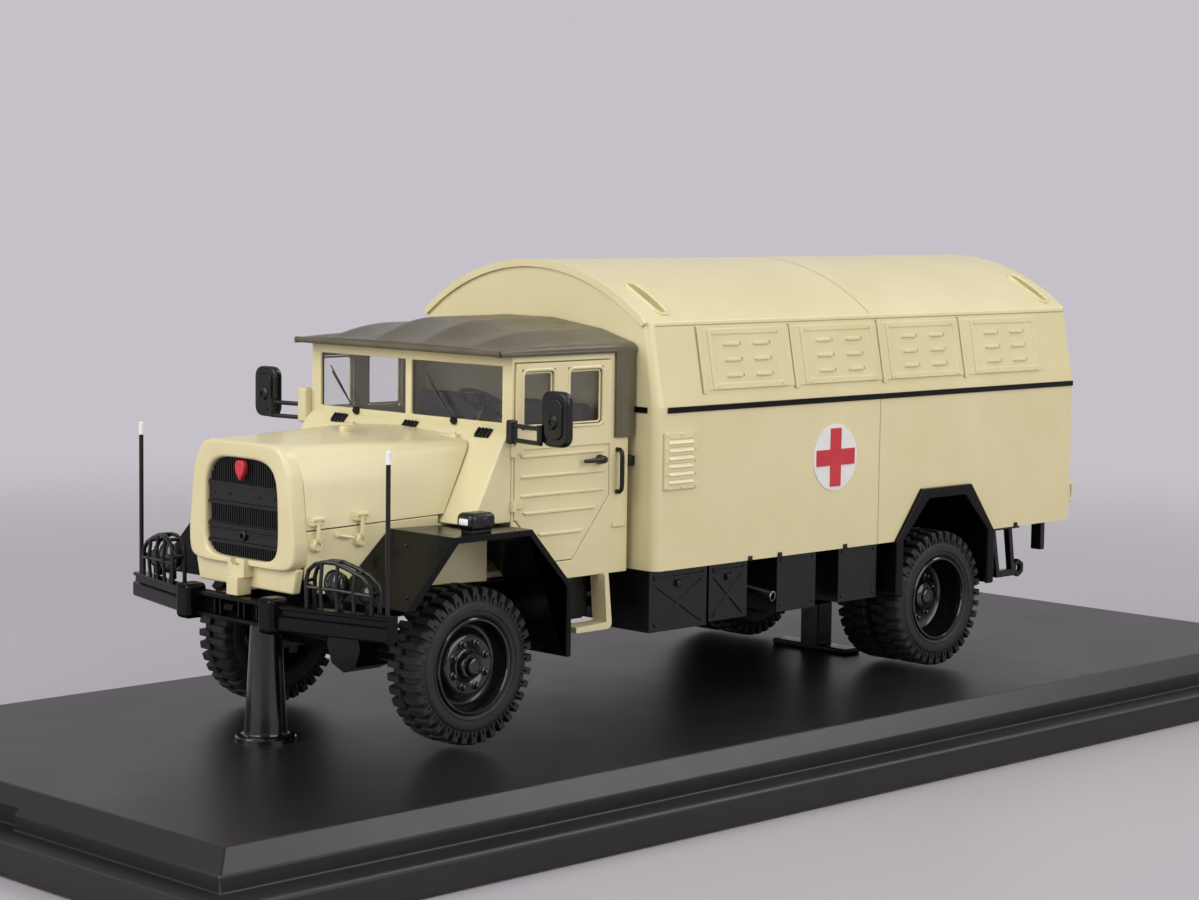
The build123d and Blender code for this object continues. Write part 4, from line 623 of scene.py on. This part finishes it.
# Bonnet top: a knob, and a catch at each end of its rear edge
mesh = bmesh.new()
block(mesh, (3.2, 4.6), (0.0, 1.1), (43.8, 45.1), 0.3, 3)
for y in (-11.9, 11.3):
    block(mesh, (-7.3, -6.3), (y - 2.2, y + 2.2), (43.2, 44.1), 0.2)
    stud(mesh, (-6.7, y + 1.6, 44.1), (0, 0, 1), 0.34, 0.3)
keep("bonnet_fittings", mesh, slot="cream_enamel")

# Cowl vents: four fins on a base plate, three times across the scuttle
mesh = bmesh.new()
for y in (-16.4, 0.1, 16.5):
    for fin in range(4):
        start = y + fin * 0.76
        blade = [(-7.5, 44.0), (-8.5, 45.1), (-8.15, 45.45), (-7.15, 44.35)]
        prism(mesh, blade, start, start + 0.46, along_y, 0.1, 1)
    base = [(-7.45, 43.95), (-8.55, 45.15), (-8.45, 45.25), (-7.35, 44.05)]
    prism(mesh, base, y - 0.1, y + 2.84, along_y)
keep("cowl_vents", mesh, slot="black_plastic")


# Bumper: a channel between rounded overriders, and stepped arms swept back
arm_inner, arm_outer = (24.8, 11.2), (20.4, 29.4)
arm_foot, arm_top, arm_back = 18.0, 21.6, 2.2


def on_arm(y, setback):
    """The x on a bumper arm's face at some y, set back from it."""
    share = (y - arm_inner[1]) / (arm_outer[1] - arm_inner[1])
    return arm_inner[0] + share * (arm_outer[0] - arm_inner[0]) - setback


mesh = bmesh.new()
block(mesh, (22.4, 26.0), (8.0, 11.2), (17.4, 22.6), 0.75, 4)
# Columns are how far the arm's face is set back, and the height
arm_section = (
    (0.2, arm_foot), (0.0, 18.3), (0.0, 20.0), (0.45, 20.25), (0.45, 20.95), (0.05, 21.15), (0.05, 21.45),
    (0.25, arm_top), (arm_back, arm_top), (arm_back, arm_foot),
)
ends = []
for y in (10.6, arm_outer[1]):
    ends.append([mesh.verts.new(at(on_arm(y, setback), y, z)) for setback, z in arm_section])
loft(mesh, ends, capped=True)
block(mesh, (18.4, 22.6), (7.7, 9.4), (18.2, 20.7), 0.1)
both_sides(mesh)
channel = [
    (24.5, 18.0), (22.4, 18.0), (22.4, 21.6), (24.5, 21.6), (24.5, 21.0), (23.0, 21.0), (23.0, 18.6),
    (24.5, 18.6),
]
prism(mesh, channel, -8.3, 8.3, along_y, 0.1)
for y in (-4.2, -2.9, 1.4, 2.7, 5.6):
    block(mesh, (22.6, 24.1), (y - 0.2, y + 0.2), (18.3, 21.3), 0.08)
bar(mesh, [(23.6, -1.6, 19.8), (23.6, 0.4, 19.8)], 0.8, 16)
keep("front_bumper_formed", mesh, "front_bumper")


# Headlamp guards: two hoops of round bar over the lamps, with ties, uprights and a cross-bar
run = Vector((arm_outer[0] - arm_inner[0], arm_outer[1] - arm_inner[1])).normalized()
# Columns are the place along the arm, and the rise above it
hoop = (
    (4.7, 0.0), (4.7, 4.2), (5.1, 5.4), (6.2, 6.3), (7.8, 6.7), (9.6, 6.7), (12.0, 6.0), (14.3, 5.1),
    (15.6, 4.0), (15.9, 3.0), (15.9, 0.0),
)
hoop_front, hoop_rear = 0.6, 2.5


def by_arm(along, rise, setback):
    """A place along the bumper's arm from its inner end, above its top, and behind its face."""
    x = arm_inner[0] + run.x * along - run.y * setback
    return (x, arm_inner[1] + run.y * along + run.x * setback, arm_top + rise)


mesh = bmesh.new()
for setback in (hoop_front, hoop_rear):
    bar(mesh, [by_arm(along, rise, setback) for along, rise in hoop], 0.32)
for along, rise in ((4.7, 3.9), (6.2, 6.3), (9.6, 6.7), (13.2, 5.5), (15.9, 3.0)):
    bar(mesh, [by_arm(along, rise, hoop_front), by_arm(along, rise, hoop_rear)], 0.28)
for along, rise in ((7.4, 6.65), (10.1, 6.6), (13.0, 5.6)):
    bar(mesh, [by_arm(along, 0, 0.5), by_arm(along, rise * 0.5, 0.25), by_arm(along, rise, hoop_front)], 0.28)
bar(mesh, [by_arm(4.7, 3.0, hoop_front), by_arm(10.3, 3.0, 0.2), by_arm(15.9, 2.6, hoop_front)], 0.28)
both_sides(mesh)
keep("headlamp_cages_bent", mesh, "headlamp_cages")


# Headlamps: black bowls with domed lenses. Profiles are shares of the lamp's radius and depth
bowl = (
    (0, 0), (0.45, 0.02), (0.8, 0.3), (0.97, 0.75), (1.0, 0.82), (1.0, 0.95), (0.9, 0.97), (0.88, 0.85),
    (0, 0.85),
)
dome = ((0.885, 0), (0.8, 0.1), (0.6, 0.2), (0.35, 0.27), (0, 0.3))
bowls, lenses = bmesh.new(), bmesh.new()
for y, z, radius in ((19.4, 24.9, 2.35), (24.4, 24.2, 1.3)):
    x = on_arm(y, 3.4)
    turned(bowls, (x, y, z), (1, 0, 0), [(radius * share, 1.9 * along) for share, along in bowl], 36)
    block(bowls, (x + 0.5, x + 1.3), (y - 0.5, y + 0.5), (21.55, z - radius * 0.8), 0.15)
    domed = [(radius * share, radius * along) for share, along in dome]
    turned(lenses, (x + 1.74, y, z), (1, 0, 0), domed, 36)
both_sides(bowls)
both_sides(lenses)
keep("headlamp_bowls", bowls, "headlamps", "black_plastic")
keep("headlamp_lenses", lenses, "headlamps")


# Marker rods with white tips
rod_y = 28.6
for part, low, high, radius, slot, finish in (
    ("stems", 21.5, 42.6, 0.34, "black_plastic", None),
    ("tips", 42.5, 44.4, 0.4, "white_enamel", white_tip),
):
    mesh = bmesh.new()
    profile = ((0, low), (radius, low), (radius, high - 0.15), (radius * 0.6, high), (0, high))
    turned(mesh, (on_arm(rod_y, 1.2), rod_y, 0), (0, 0, 1), profile, 12)
    both_sides(mesh)
    keep("marker_rod_" + part, mesh, "marker_rods", slot, finish=finish)


# Wing lamps: rounded black housings with a foot and a band, and a white lens ahead
housings, faces = bmesh.new(), bmesh.new()
block(housings, (-1.2, 3.7), (24.7, 28.3), (31.9, 34.48), 0.9, 5)
block(housings, (-0.6, 3.0), (25.2, 27.8), (31.45, 32.2), 0.15)
block(housings, (0.2, 1.6), (24.62, 28.38), (32.4, 34.0), 0.4, 3)
block(faces, (3.3, 3.86), (25.6, 27.5), (32.7, 33.7), 0.25, 3)
both_sides(housings)
both_sides(faces)
keep("wing_lamp_housings", housings, "wing_lamps")
keep("wing_lamp_lenses", faces, "wing_lamps", "white_enamel", finish=white_tip)


def rounded_corners(across, up, radius):
    """A rectangle's outline with rounded corners."""
    low_a, high_a, low_b, high_b = across[0] + radius, across[1] - radius, up[0] + radius, up[1] - radius
    outline = []
    for a, b, start in ((high_a, low_b, -90), (high_a, high_b, 0), (low_a, high_b, 90), (low_a, low_b, 180)):
        for step in range(5):
            turn = radians(start + 22.5 * step)
            outline.append((a + radius * cos(turn), b + radius * sin(turn)))
    return outline


# Mirrors: rounded housings with a glass behind, on two arms from a mount at the cab's corner
pivot_boss = ((1.1, -0.2), (1.1, 0.25), (0.8, 0.5), (0.45, 0.5), (0.4, 0.3), (0, 0.3))
heads, glasses = bmesh.new(), bmesh.new()
prism(heads, rounded_corners((30.25, 35.75), (43.6, 51.6), 1.6), -8.95, -7.5, along_x, 0.45, 3)
prism(heads, rounded_corners((31.2, 34.8), (44.7, 50.5), 1.1), -7.7, -7.2, along_x, 0.2)
turned(heads, (-7.4, 33.0, 47.2), (1, 0, 0), pivot_boss, 20)
bar(heads, [(-7.2, 30.6, 44.2), (-7.2, 30.6, 46.6)], 0.5, 12)
for z in (46.1, 44.0):
    bar(heads, [(-8.2, 24.0, z), (-7.6, 27.5, z), (-7.2, 30.8, z)], 0.36)
block(heads, (-8.95, -7.55), (22.9, 24.3), (43.4, 46.9), 0.35, 3)
prism(glasses, rounded_corners((30.8, 35.2), (44.2, 51.0), 1.2), -9.02, -8.9, along_x)
both_sides(heads)
both_sides(glasses)
bracket = bmesh.new()
block(bracket, (-9.1, -7.5), (-25.0, -22.8), (43.3, 48.8), 0.5, 3)
keep("right_mirror_bracket", bracket, slot="cream_enamel")
keep("mirror_housings", heads, "mirrors")
keep("mirror_glasses", glasses, "mirrors", "bright_steel")


# Wipers: an arm and a blade on each pivot
pivot = ((0.62, 0), (0.6, 0.4), (0.35, 0.7), (0, 0.75))
mesh = bmesh.new()
for foot_y, foot_z, tip_y, tip_z in ((-11.9, 45.9, -17.6, 51.6), (10.5, 45.9, 4.9, 51.6)):
    elbow = (-8.5, (foot_y + tip_y) / 2, (foot_z + tip_z) / 2)
    bar(mesh, [(-8.55, foot_y, foot_z), elbow, (-8.65, tip_y, tip_z)], 0.13, 8)
    bar(mesh, [(-8.75, foot_y - 2.2, foot_z + 2.0), (-8.75, tip_y - 0.5, tip_z + 0.9)], 0.11, 6)
    turned(mesh, (-8.9, foot_y, foot_z), (1, 0, 0), pivot, 14)
keep("wipers_thin", mesh, "wipers")


# Steering wheel: a ring, three spokes, a hub and its column
wheel_radius = 4.0
wheel_middle = Vector((-15.3, 10.4, 48.2))
rake = Vector((-2.6, 0, 4.2)).normalized()
across = Vector((0, 1, 0))
down = rake.cross(across)


def on_ring(turn):
    """A place on the steering wheel's ring at a turn."""
    return wheel_middle + wheel_radius * (across * cos(turn) + down * sin(turn))


mesh = bmesh.new()
bar(mesh, [on_ring(2 * pi * step / 32) for step in range(32)], 0.27, ring=True)
for turn in (90, 210, 330):
    bar(mesh, [wheel_middle, on_ring(radians(turn))], 0.18, 8)
hub = ((0, -0.3), (0.8, -0.3), (0.8, 0.1), (0.5, 0.3), (0, 0.35))
turned(mesh, wheel_middle, rake, hub, 16)
bar(mesh, [wheel_middle, wheel_middle - 4.75 * rake], 0.3)
keep("steering_wheel_round", mesh, "steering_wheel")


# Door handles: a lever that points forward, its boss, and a grab rail behind the door
lever = ((0, 0), (0.5, 0.05), (0.62, 0.4), (0.55, 1.2), (0.36, 2.0), (0.3, 4.2), (0.2, 4.55), (0, 4.6))
lever_boss = ((0.75, 0), (0.75, 0.35), (0.5, 0.6), (0.4, 1.0), (0, 1.0))
# Columns are y and z
grab = (
    (22.8, 34.9), (23.5, 34.9), (23.95, 35.3), (24.05, 36.0), (24.05, 40.2), (23.95, 40.9), (23.5, 41.25),
    (22.8, 41.25),
)
mesh = bmesh.new()
turned(mesh, (-27.4, 23.75, 40.0), (1, 0.03, 0), lever, 16)
turned(mesh, (-26.8, 22.9, 40.0), (0, 1, 0), lever_boss, 16)
bar(mesh, [(-30.6, *place) for place in grab], 0.36, 12)
both_sides(mesh)
keep("door_handles_round", mesh, "door_handles")


# Door trims: a rounded frame and an inner seal round each pane, hinges, and a plate below the rail
hinge_edge, door_face = -9.1, 22.85
mesh = bmesh.new()
for front_x, rear_x in ((-10.6, -17.3), (-19.9, -27.3)):
    for inset, radius, y, thickness in ((0.1, 0.9, 23.2, 0.26), (0.55, 0.5, door_face, 0.16)):
        around = rounded_corners((rear_x + inset, front_x - inset), (45.2 + inset, 54.0 - inset), radius)
        bar(mesh, [(x, y, z) for x, z in around], thickness, 8, ring=True)
for z in (33.4, 41.4):
    bar(mesh, [(hinge_edge, 23.15, z), (hinge_edge, 23.15, z + 1.7)], 0.5, 12)
    block(mesh, (-11.0, hinge_edge), (door_face, 23.3), (z + 0.3, z + 1.4), 0.12)
    block(mesh, (-9.2, -8.6), (door_face, 23.2), (z + 0.3, z + 1.4), 0.1)
block(mesh, (-32.3, -29.6), (22.8, 23.25), (29.5, 30.3), 0.2, 3)
both_sides(mesh)
keep("door_trims", mesh, slot="cream_enamel")


# Cab steps: one bent strip each, a hanger that turns into the tread
mesh = bmesh.new()
strip = [
    (-27.0, 22.9), (-27.9, 15.6), (-27.6, 15.3), (-21.4, 15.3), (-21.4, 14.3), (-28.0, 14.3), (-28.5, 14.45),
    (-28.85, 14.8), (-28.95, 15.3), (-28.1, 22.9),
]
prism(mesh, strip, 21.0, 24.0, along_y, 0.16)
both_sides(mesh)
keep("cab_steps_bent", mesh, "cab_steps", smooth_angle=40)


# Canvas roof: a sheet that rises from its front hem and sags between lengthwise battens, and side flaps
roof_front, roof_rear, roof_half = -6.1, -33.8, 23.45
batten_pitch = 10.6
stations = 49
# Columns are the share of the roof's half width, and the height
section = [(-1.0, 55.95), (-1.006, 56.6), (-0.998, 57.0), (-0.98, 57.35), (-0.95, 57.6)]
for step in range(1, 72):
    share = -0.95 + 1.9 * step / 72
    section.append((share, 57.6 + 3.1 * (1 - (share / 0.95) ** 2) ** 0.9))
section += [(-share, z) for share, z in reversed(section[:5])]
mesh = bmesh.new()
rows = [[mesh.verts.new(at(roof_front, share * roof_half, 55.95)) for share, _ in section]]
for station in range(stations):
    x = roof_front + (roof_rear - roof_front) * station / (stations - 1)
    rise = 1 - (1 - min(1.0, (roof_front - x) / 13.0)) ** 2
    slack = min(1.0, 2 * rise) * (1 - 0.8 * max(0.0, (-12.0 - x) / 22.0))
    row = []
    for share, z in section:
        y = share * roof_half
        middle = max(0.0, min(1.0, (0.985 - abs(share)) / 0.12))
        sag = 0.95 * slack * middle * abs(cos(pi * y / batten_pitch)) ** 0.8
        lifted = z if z < 56.8 else 56.8 + (z - 56.8) * max(0.12, rise)
        row.append(mesh.verts.new(at(x, y, lifted - 0.1 - sag)))
    rows.append(row)
loft(mesh, rows, closed=False)
bmesh.ops.recalc_face_normals(mesh, faces=mesh.faces)
bmesh.ops.solidify(mesh, geom=mesh.faces[:], thickness=0.5 * mm)
bar(mesh, [(roof_front + 0.02, y, 56.45) for y in (-23.3, 0, 23.3)], 0.42, 12)
flap = (
    (-33.75, 22.95), (-33.75, 23.4), (-32.4, 23.5), (-31.0, 23.38), (-30.2, 23.45), (-29.95, 23.3),
    (-29.95, 22.95),
)
for side in (-1, 1):
    bar(mesh, [(x, side * 23.42, 56.2) for x in (roof_front, -20, -29.9)], 0.2, 8)
    prism(mesh, [(x, side * y) for x, y in flap], 43.1, 56.6, at, 0.12)
    bar(mesh, [(-30.1, side * 23.25, 43.2), (-30.1, side * 23.25, 56.4)], 0.24, 8)
keep("canvas_roof_drawn", mesh, "canvas_roof", smooth_angle=50)


# Box: an upper half with leaning sides, rounded corners and an arched roof with a hoop at each end
box_front, box_rear = -34.3, -140.3
box_half, belt_z, eave_z, eave_half = 27.75, 47.6, 60.3, 25.3
roof_radius, roof_middle = 40.41, 28.79
side_lean = 0.19


def on_upper_side(x, z, proud=0.0):
    """A place on the box's leaning upper side."""
    return (x, box_half - (box_half - eave_half) * (z - belt_z) / (eave_z - belt_z) + proud, z)


def on_roof(x, y, proud=0.0):
    """A place on the box's arched roof."""
    reach = roof_radius + proud
    return (x, y, roof_middle + (reach**2 - y**2) ** 0.5)


arch = [on_roof(0, eave_half - 2 * eave_half * step / 48, -0.03)[1:] for step in range(49)]
outline = [(box_half, belt_z)] + arch + [(-box_half, belt_z)]
mesh = bmesh.new()
ends = [[mesh.verts.new(at(x, *corner)) for corner in outline] for x in (box_front, box_rear)]
loft(mesh, ends, capped=True)
uprights = ({ends[0][0], ends[0][1]}, {ends[0][-1], ends[0][-2]})
corners = [line for line in mesh.edges if set(line.verts) in uprights]
round_edges(mesh, corners, 1.5, 6)
above_belt = (belt_z + deck_height + 0.5) * mm
sharp = [line for line in mesh.edges if line.calc_face_angle(0) > radians(25)]
sharp = [line for line in sharp if min(vert.co.z for vert in line.verts) > above_belt]
round_edges(mesh, sharp, 0.4, 3, clamped=True)
for x0, x1 in ((-34.4, -33.82), (-140.78, -140.2)):
    outer, inner = [[on_roof(0, y * (1 + depth / 30), depth)[1:] for y, _ in arch] for depth in (0.0, -1.1)]
    prism(mesh, outer + inner[::-1], x0, x1, along_x, 0.14)
keep("box_upper_arched", mesh, "box_upper", smooth_angle=30)


# Box pressings: plates and louvres on the flaps, slats and screws on the vents, rims round roof recesses
flaps = ((-46.9, -63.9), (-68.5, -86.6), (-90.0, -108.5), (-112.6, -130.7))
dividers = (-45.0, -66.4, -88.2, -109.9, -132.2)
louvres = [
    ((front_x + rear_x) / 2 + (front_x - rear_x) / 2 * share, z)
    for (front_x, rear_x), share, z in product(flaps, (-0.4, 0.4), (51.9, 54.3, 56.7))
]
vent_face = 28.15
recesses = list(product((-39.4, -137.0), (-1, 1)))


def louvre(mesh, x, z, length=3.7, height=0.66, proud=0.34):
    """Adds a pressed louvre, long and low with rounded ends, on the upper side."""
    rows = []
    for share, rise in ((1.0, -0.1), (0.86, 0.55), (0.55, 0.95), (0.0, 1.0)):
        ring = []
        for turn in range(20):
            angle = 2 * pi * turn / 20
            run = copysign((length - height) / 2, cos(angle))
            place = (x + run + height / 2 * share * cos(angle), z + height / 2 * share * sin(angle))
            ring.append(mesh.verts.new(at(*on_upper_side(*place, 0.2 + proud * rise))))
        rows.append(ring)
    loft(mesh, rows)
    mesh.faces.new(rows[-1])


mesh = bmesh.new()
for ahead, behind in zip(dividers, dividers[1:]):
    x0, x1 = behind + 0.5, ahead - 0.2
    plate = [(x0, 49.75), (x1, 49.75), (x1, 59.1), (x0, 59.1)]
    prism(mesh, plate, -0.1, 0.14, lambda x, z, proud: at(*on_upper_side(x, z, proud)), 0.06, 1)
for x, z in louvres:
    louvre(mesh, x, z)
for front_x, rear_x in flaps:
    for x, z in product((front_x - 1.0, rear_x + 1.0), (50.3, 58.5)):
        stud(mesh, on_upper_side(x, z, 0.33), (0, 1, side_lean), 0.26, 0.16, 8)
for z in (36.4, 37.6, 38.8, 40.0, 41.2, 42.4):
    slat = [(27.9, z - 0.32), (28.32, z - 0.42), (28.38, z - 0.3), (27.9, z + 0.3)]
    prism(mesh, slat, -41.9, -36.5, along_x, 0.06, 1)
studs(mesh, (-36.0, -39.2, -42.4), (vent_face,), (35.45, 43.45), 0.24, 0.16)
studs(mesh, (-36.0, -42.4), (vent_face,), (37.5, 39.4, 41.3), 0.24, 0.16)
eye = [
    (-140.0, 27.2, 29.2), (-141.0, 27.6, 29.2), (-141.3, 27.6, 28.4), (-141.3, 27.6, 27.2),
    (-141.0, 27.6, 26.4), (-140.0, 27.2, 26.4),
]
bar(mesh, eye, 0.28, 8)
both_sides(mesh)
for x, side in recesses:
    rim = []
    for turn in range(28):
        angle = 2 * pi * turn / 28
        run = copysign(2.7, cos(angle))
        rim.append(on_roof(x + 1.2 * sin(angle), side * (20.0 + run + 1.2 * cos(angle)), 0.04))
    bar(mesh, rim, 0.3, 8, ring=True)
keep("box_pressings", mesh, slot="cream_enamel")

# Roof recess floors: strips in painted shade, a darker dull cream
mesh = bmesh.new()
for x, side in recesses:
    edges = []
    for edge_x in (x - 1.0, x + 1.0):
        places = [on_roof(edge_x, side * (16.4 + 0.72 * step), 0.06) for step in range(11)]
        edges.append([mesh.verts.new(at(*place)) for place in places])
    loft(mesh, edges, closed=False)
keep("roof_recess_floors", mesh, slot="cream_enamel", finish=painted_recess_shade)


# Panel joints: hairlines on the sides and over the roof, and the shaded ends of the louvres
def hairline(mesh, places, width, across):
    """Adds a hairline strip along places, widened across."""
    half = Vector(across) * width / 2
    edges = [[mesh.verts.new(at(*(Vector(place) + sign * half))) for place in places] for sign in (-1, 1)]
    loft(mesh, edges, closed=False)


panel_joint = -86.9
mesh = bmesh.new()
for side in (-1, 1):
    hairline(mesh, [(panel_joint, side * (box_half + 0.02), z) for z in (22.9, 46.6)], 0.14, (1, 0, 0))
    marks = [([on_upper_side(x, 59.75, 0.02) for x in (-35.9, -140.2)], 0.14)]
    for x in dividers[:-1]:
        marks.append(([on_upper_side(x + 0.5, z, 0.02) for z in (49.3, 59.5)], 0.22))
    for x, z in louvres:
        marks.append(([on_upper_side(x + end, z, 0.2) for end in (-1.7, -2.3)], 0.5))
    for places, width in marks:
        across = (1, 0, 0) if places[0][0] == places[1][0] else (0, -side_lean * side, 1)
        hairline(mesh, [(x, side * y, z) for x, y, z in places], width, across)
over_roof = [on_roof(panel_joint, -24.9 + 49.8 * step / 40, 0.0) for step in range(41)]
hairline(mesh, over_roof, 0.12, (1, 0, 0))
keep("box_joint_lines", mesh, slot="cream_enamel", finish=joint_shade)


# Side fittings in black: clips at the box's foot, a bracket behind the cab, a closed housing behind its step,
# screws on the wings, and the catches and screws of lockers and tank
locker_face = 26.4
mesh = bmesh.new()
for x in (-55.5, -62.5, -78.5, -124.5):
    block(mesh, (x - 0.4, x + 0.4), (27.5, 28.1), (22.7, 23.5), 0.12)
block(mesh, (-34.2, -33.0), (21.5, 23.2), (38.6, 40.2), 0.2)
block(mesh, (-27.2, -19.6), (14.5, 19.6), (15.6, 22.8), 0.3)
stud(mesh, (-24.0, 19.5, 17.4), (0, 1, 0), 0.4, 0.3, 12)
for x, z in ((9.0, 29.77), (14.8, 23.52)):
    studs(mesh, (x,), (20.5, 27.3), (z,), 0.26, 0.18, (0.73, 0, 0.68))
for x0, x1 in ((-34.4, -47.2), (-47.7, -56.5)):
    middle = (x0 + x1) / 2
    block(mesh, (middle - 0.7, middle + 0.7), (26.3, 26.9), (19.9, 20.9), 0.15)
    studs(mesh, (x0 - 1.0, x1 + 1.0), (locker_face,), (14.6, 21.8), 0.22, 0.14)
for x0, x1 in ((-63.6, -73.0), (-78.7, -88.4)):
    studs(mesh, (x0 - 0.9, x1 + 0.9), (locker_face,), (14.7, 21.9), 0.26, 0.16)
both_sides(mesh)
keep("side_fittings", mesh, slot="black_plastic")


# Exhaust: a bright open pipe
root, tip = Vector((-59.6, 14.5, 18.2)), Vector((-61.6, 27.4, 16.5))
reach = (tip - root).length
pipe = (
    (0, -0.3), (0.85, -0.3), (0.85, reach - 0.1), (0.78, reach), (0.66, reach), (0.62, reach - 0.2),
    (0.62, reach - 5), (0, reach - 5),
)
mesh = bmesh.new()
turned(mesh, root, tip - root, pipe, 24)
keep("exhaust_pipe_open", mesh, "exhaust_pipe")


# Rear doors: knobs with levers, hinges and grab rails
knob = ((0.9, 0), (0.9, 0.2), (0.4, 0.3), (0.35, 0.7), (0, 0.7))
# Columns are x and z
rail = ((-140.2, 33.0), (-141.3, 33.4), (-141.45, 34.4), (-141.45, 43.6), (-141.3, 44.6), (-140.2, 45.0))
mesh = bmesh.new()
for y in (-1.7, 1.7):
    turned(mesh, (-141.3, y, 40.0), (-1, 0, 0), knob, 18)
    bar(mesh, [(-141.9, y, 40.6), (-141.9, y * 2.6, 40.6)], 0.28, 8)
    for z in (27.0, 33.0, 50.0, 56.0):
        block(mesh, (-141.5, -141.1), (y - 0.9, y + 0.9), (z - 0.35, z + 0.35), 0.1)
for y in (-15.5, 15.5):
    bar(mesh, [(x, y, z) for x, z in rail], 0.3)
keep("rear_door_handles", mesh, slot="black_plastic")


# Camera, fitted to the photograph
camera_place = Vector((0.32023, 0.30973, 0.08915))
yaw, pitch, roll = radians(225.008), radians(-5.403), radians(0.745)
ahead = Vector((cos(yaw) * cos(pitch), sin(yaw) * cos(pitch), sin(pitch)))
level = Vector((sin(yaw), -cos(yaw), 0))
above = level.cross(ahead)
right = cos(roll) * level + sin(roll) * above
up = -sin(roll) * level + cos(roll) * above
lens = bpy.data.cameras.new("photo_camera")
lens.lens = 81.83
lens.sensor_width = 36
camera = linked("photo_camera", lens)
camera.matrix_world = Matrix.Translation(camera_place) @ Matrix((right, up, -ahead)).transposed().to_4x4()
scene.camera = camera


# Floor and backdrop in one sweep, square to the camera, in metres
backdrop_colour = linear("#C6C1C8")


def board():
    """The floor's matt board, which far from the model turns into an evenly lit backdrop for the eye."""
    made = surface("pale_board", ("#B5B0B4", "#B7B2B6", 400), (0.42, 0.44, 300), IOR=1.4)
    tree = made.node_tree
    place = add(tree, "TexCoord").outputs["Object"]
    distance = add(tree, "VectorMath", {0: place}, operation="LENGTH").outputs["Value"]
    inputs = {"Value": distance, "From Min": 0.2, "From Max": 0.5, "To Min": 0.0, "To Max": 1.0}
    far = add(tree, "MapRange", inputs, interpolation_type="SMOOTHSTEP").outputs["Result"]
    ray = add(tree, "LightPath").outputs
    seen = {0: ray["Is Camera Ray"], 1: ray["Is Glossy Ray"]}
    seen = {0: add(tree, "Math", seen, operation="MAXIMUM").outputs[0], 1: ray["Is Transmission Ray"]}
    seen = {0: add(tree, "Math", seen, operation="MAXIMUM").outputs[0], 1: far}
    share = add(tree, "Math", seen, operation="MULTIPLY").outputs[0]
    glow = add(tree, "Emission", {"Color": backdrop_colour, "Strength": 1.0}).outputs[0]
    lit = tree.nodes["Principled BSDF"].outputs[0]
    mixed = add(tree, "MixShader", {"Fac": share, 1: lit, 2: glow}).outputs[0]
    tree.links.new(mixed, tree.nodes["Material Output"].inputs["Surface"])
    return made


# Columns are the distance towards the camera, and the height
section = ((1.2, 0.0), (-1.3, 0.0), (-1.6, 0.02), (-1.85, 0.1), (-2.0, 0.28), (-2.05, 0.6), (-2.05, 2.2))
seen_along = Vector((cos(yaw), sin(yaw), 0))
across = Vector((-seen_along.y, seen_along.x, 0))
mesh = bmesh.new()
rows = []
for back, height in section:
    ends = [seen_along * -back + across * reach + Vector((0, 0, height - 0.0002)) for reach in (-3, 3)]
    rows.append([mesh.verts.new(end) for end in ends])
loft(mesh, rows, closed=False)
floor = smooth_object("studio_sweep", mesh, board())


# Lights: soft boxes overhead, behind the truck, and to the camera's left and right, in metres and watts
def area_light(name, place, aim, size, watts):
    """Adds a rectangular light at a place, turned to its aim."""
    data = bpy.data.lights.new(name, "AREA")
    data.shape = "RECTANGLE"
    data.size, data.size_y = size
    data.energy = watts
    thing = linked(name, data)
    thing.location = place
    thing.rotation_euler = (Vector(aim) - Vector(place)).to_track_quat("-Z", "Y").to_euler()


area_light("overhead_box", (-0.1, 0.05, 0.95), (-0.05, 0, 0), (1.3, 1.1), 1.0)
area_light("rear_box", (-0.6, 0.24, 0.72), (-0.02, 0, 0.0), (0.36, 0.4), 1.9)
area_light("left_box", (0.8, -0.1, 0.5), (0.0, 0, 0.04), (1.0, 0.8), 7.8)
area_light("right_box", (-0.1, 0.85, 0.45), (0, 0, 0.04), (0.9, 0.7), 4.9)

# World: a faint even tent light, which the camera sees as the backdrop's colour
world = bpy.data.worlds.new("studio")
scene.world = world
world.use_nodes = True
sky = world.node_tree
tent = sky.nodes["Background"]
tent.inputs["Color"].default_value = linear("#E4E4EA")
tent.inputs["Strength"].default_value = 0.32
ray = add(sky, "LightPath").outputs["Is Camera Ray"]
seen_sky = add(sky, "Background", {"Color": backdrop_colour, "Strength": 1.0}).outputs[0]
both_skies = add(sky, "MixShader", {"Fac": ray, 1: tent.outputs[0], 2: seen_sky})
sky.links.new(both_skies.outputs[0], sky.nodes["World Output"].inputs["Surface"])
scene.view_settings.view_transform = "Standard"
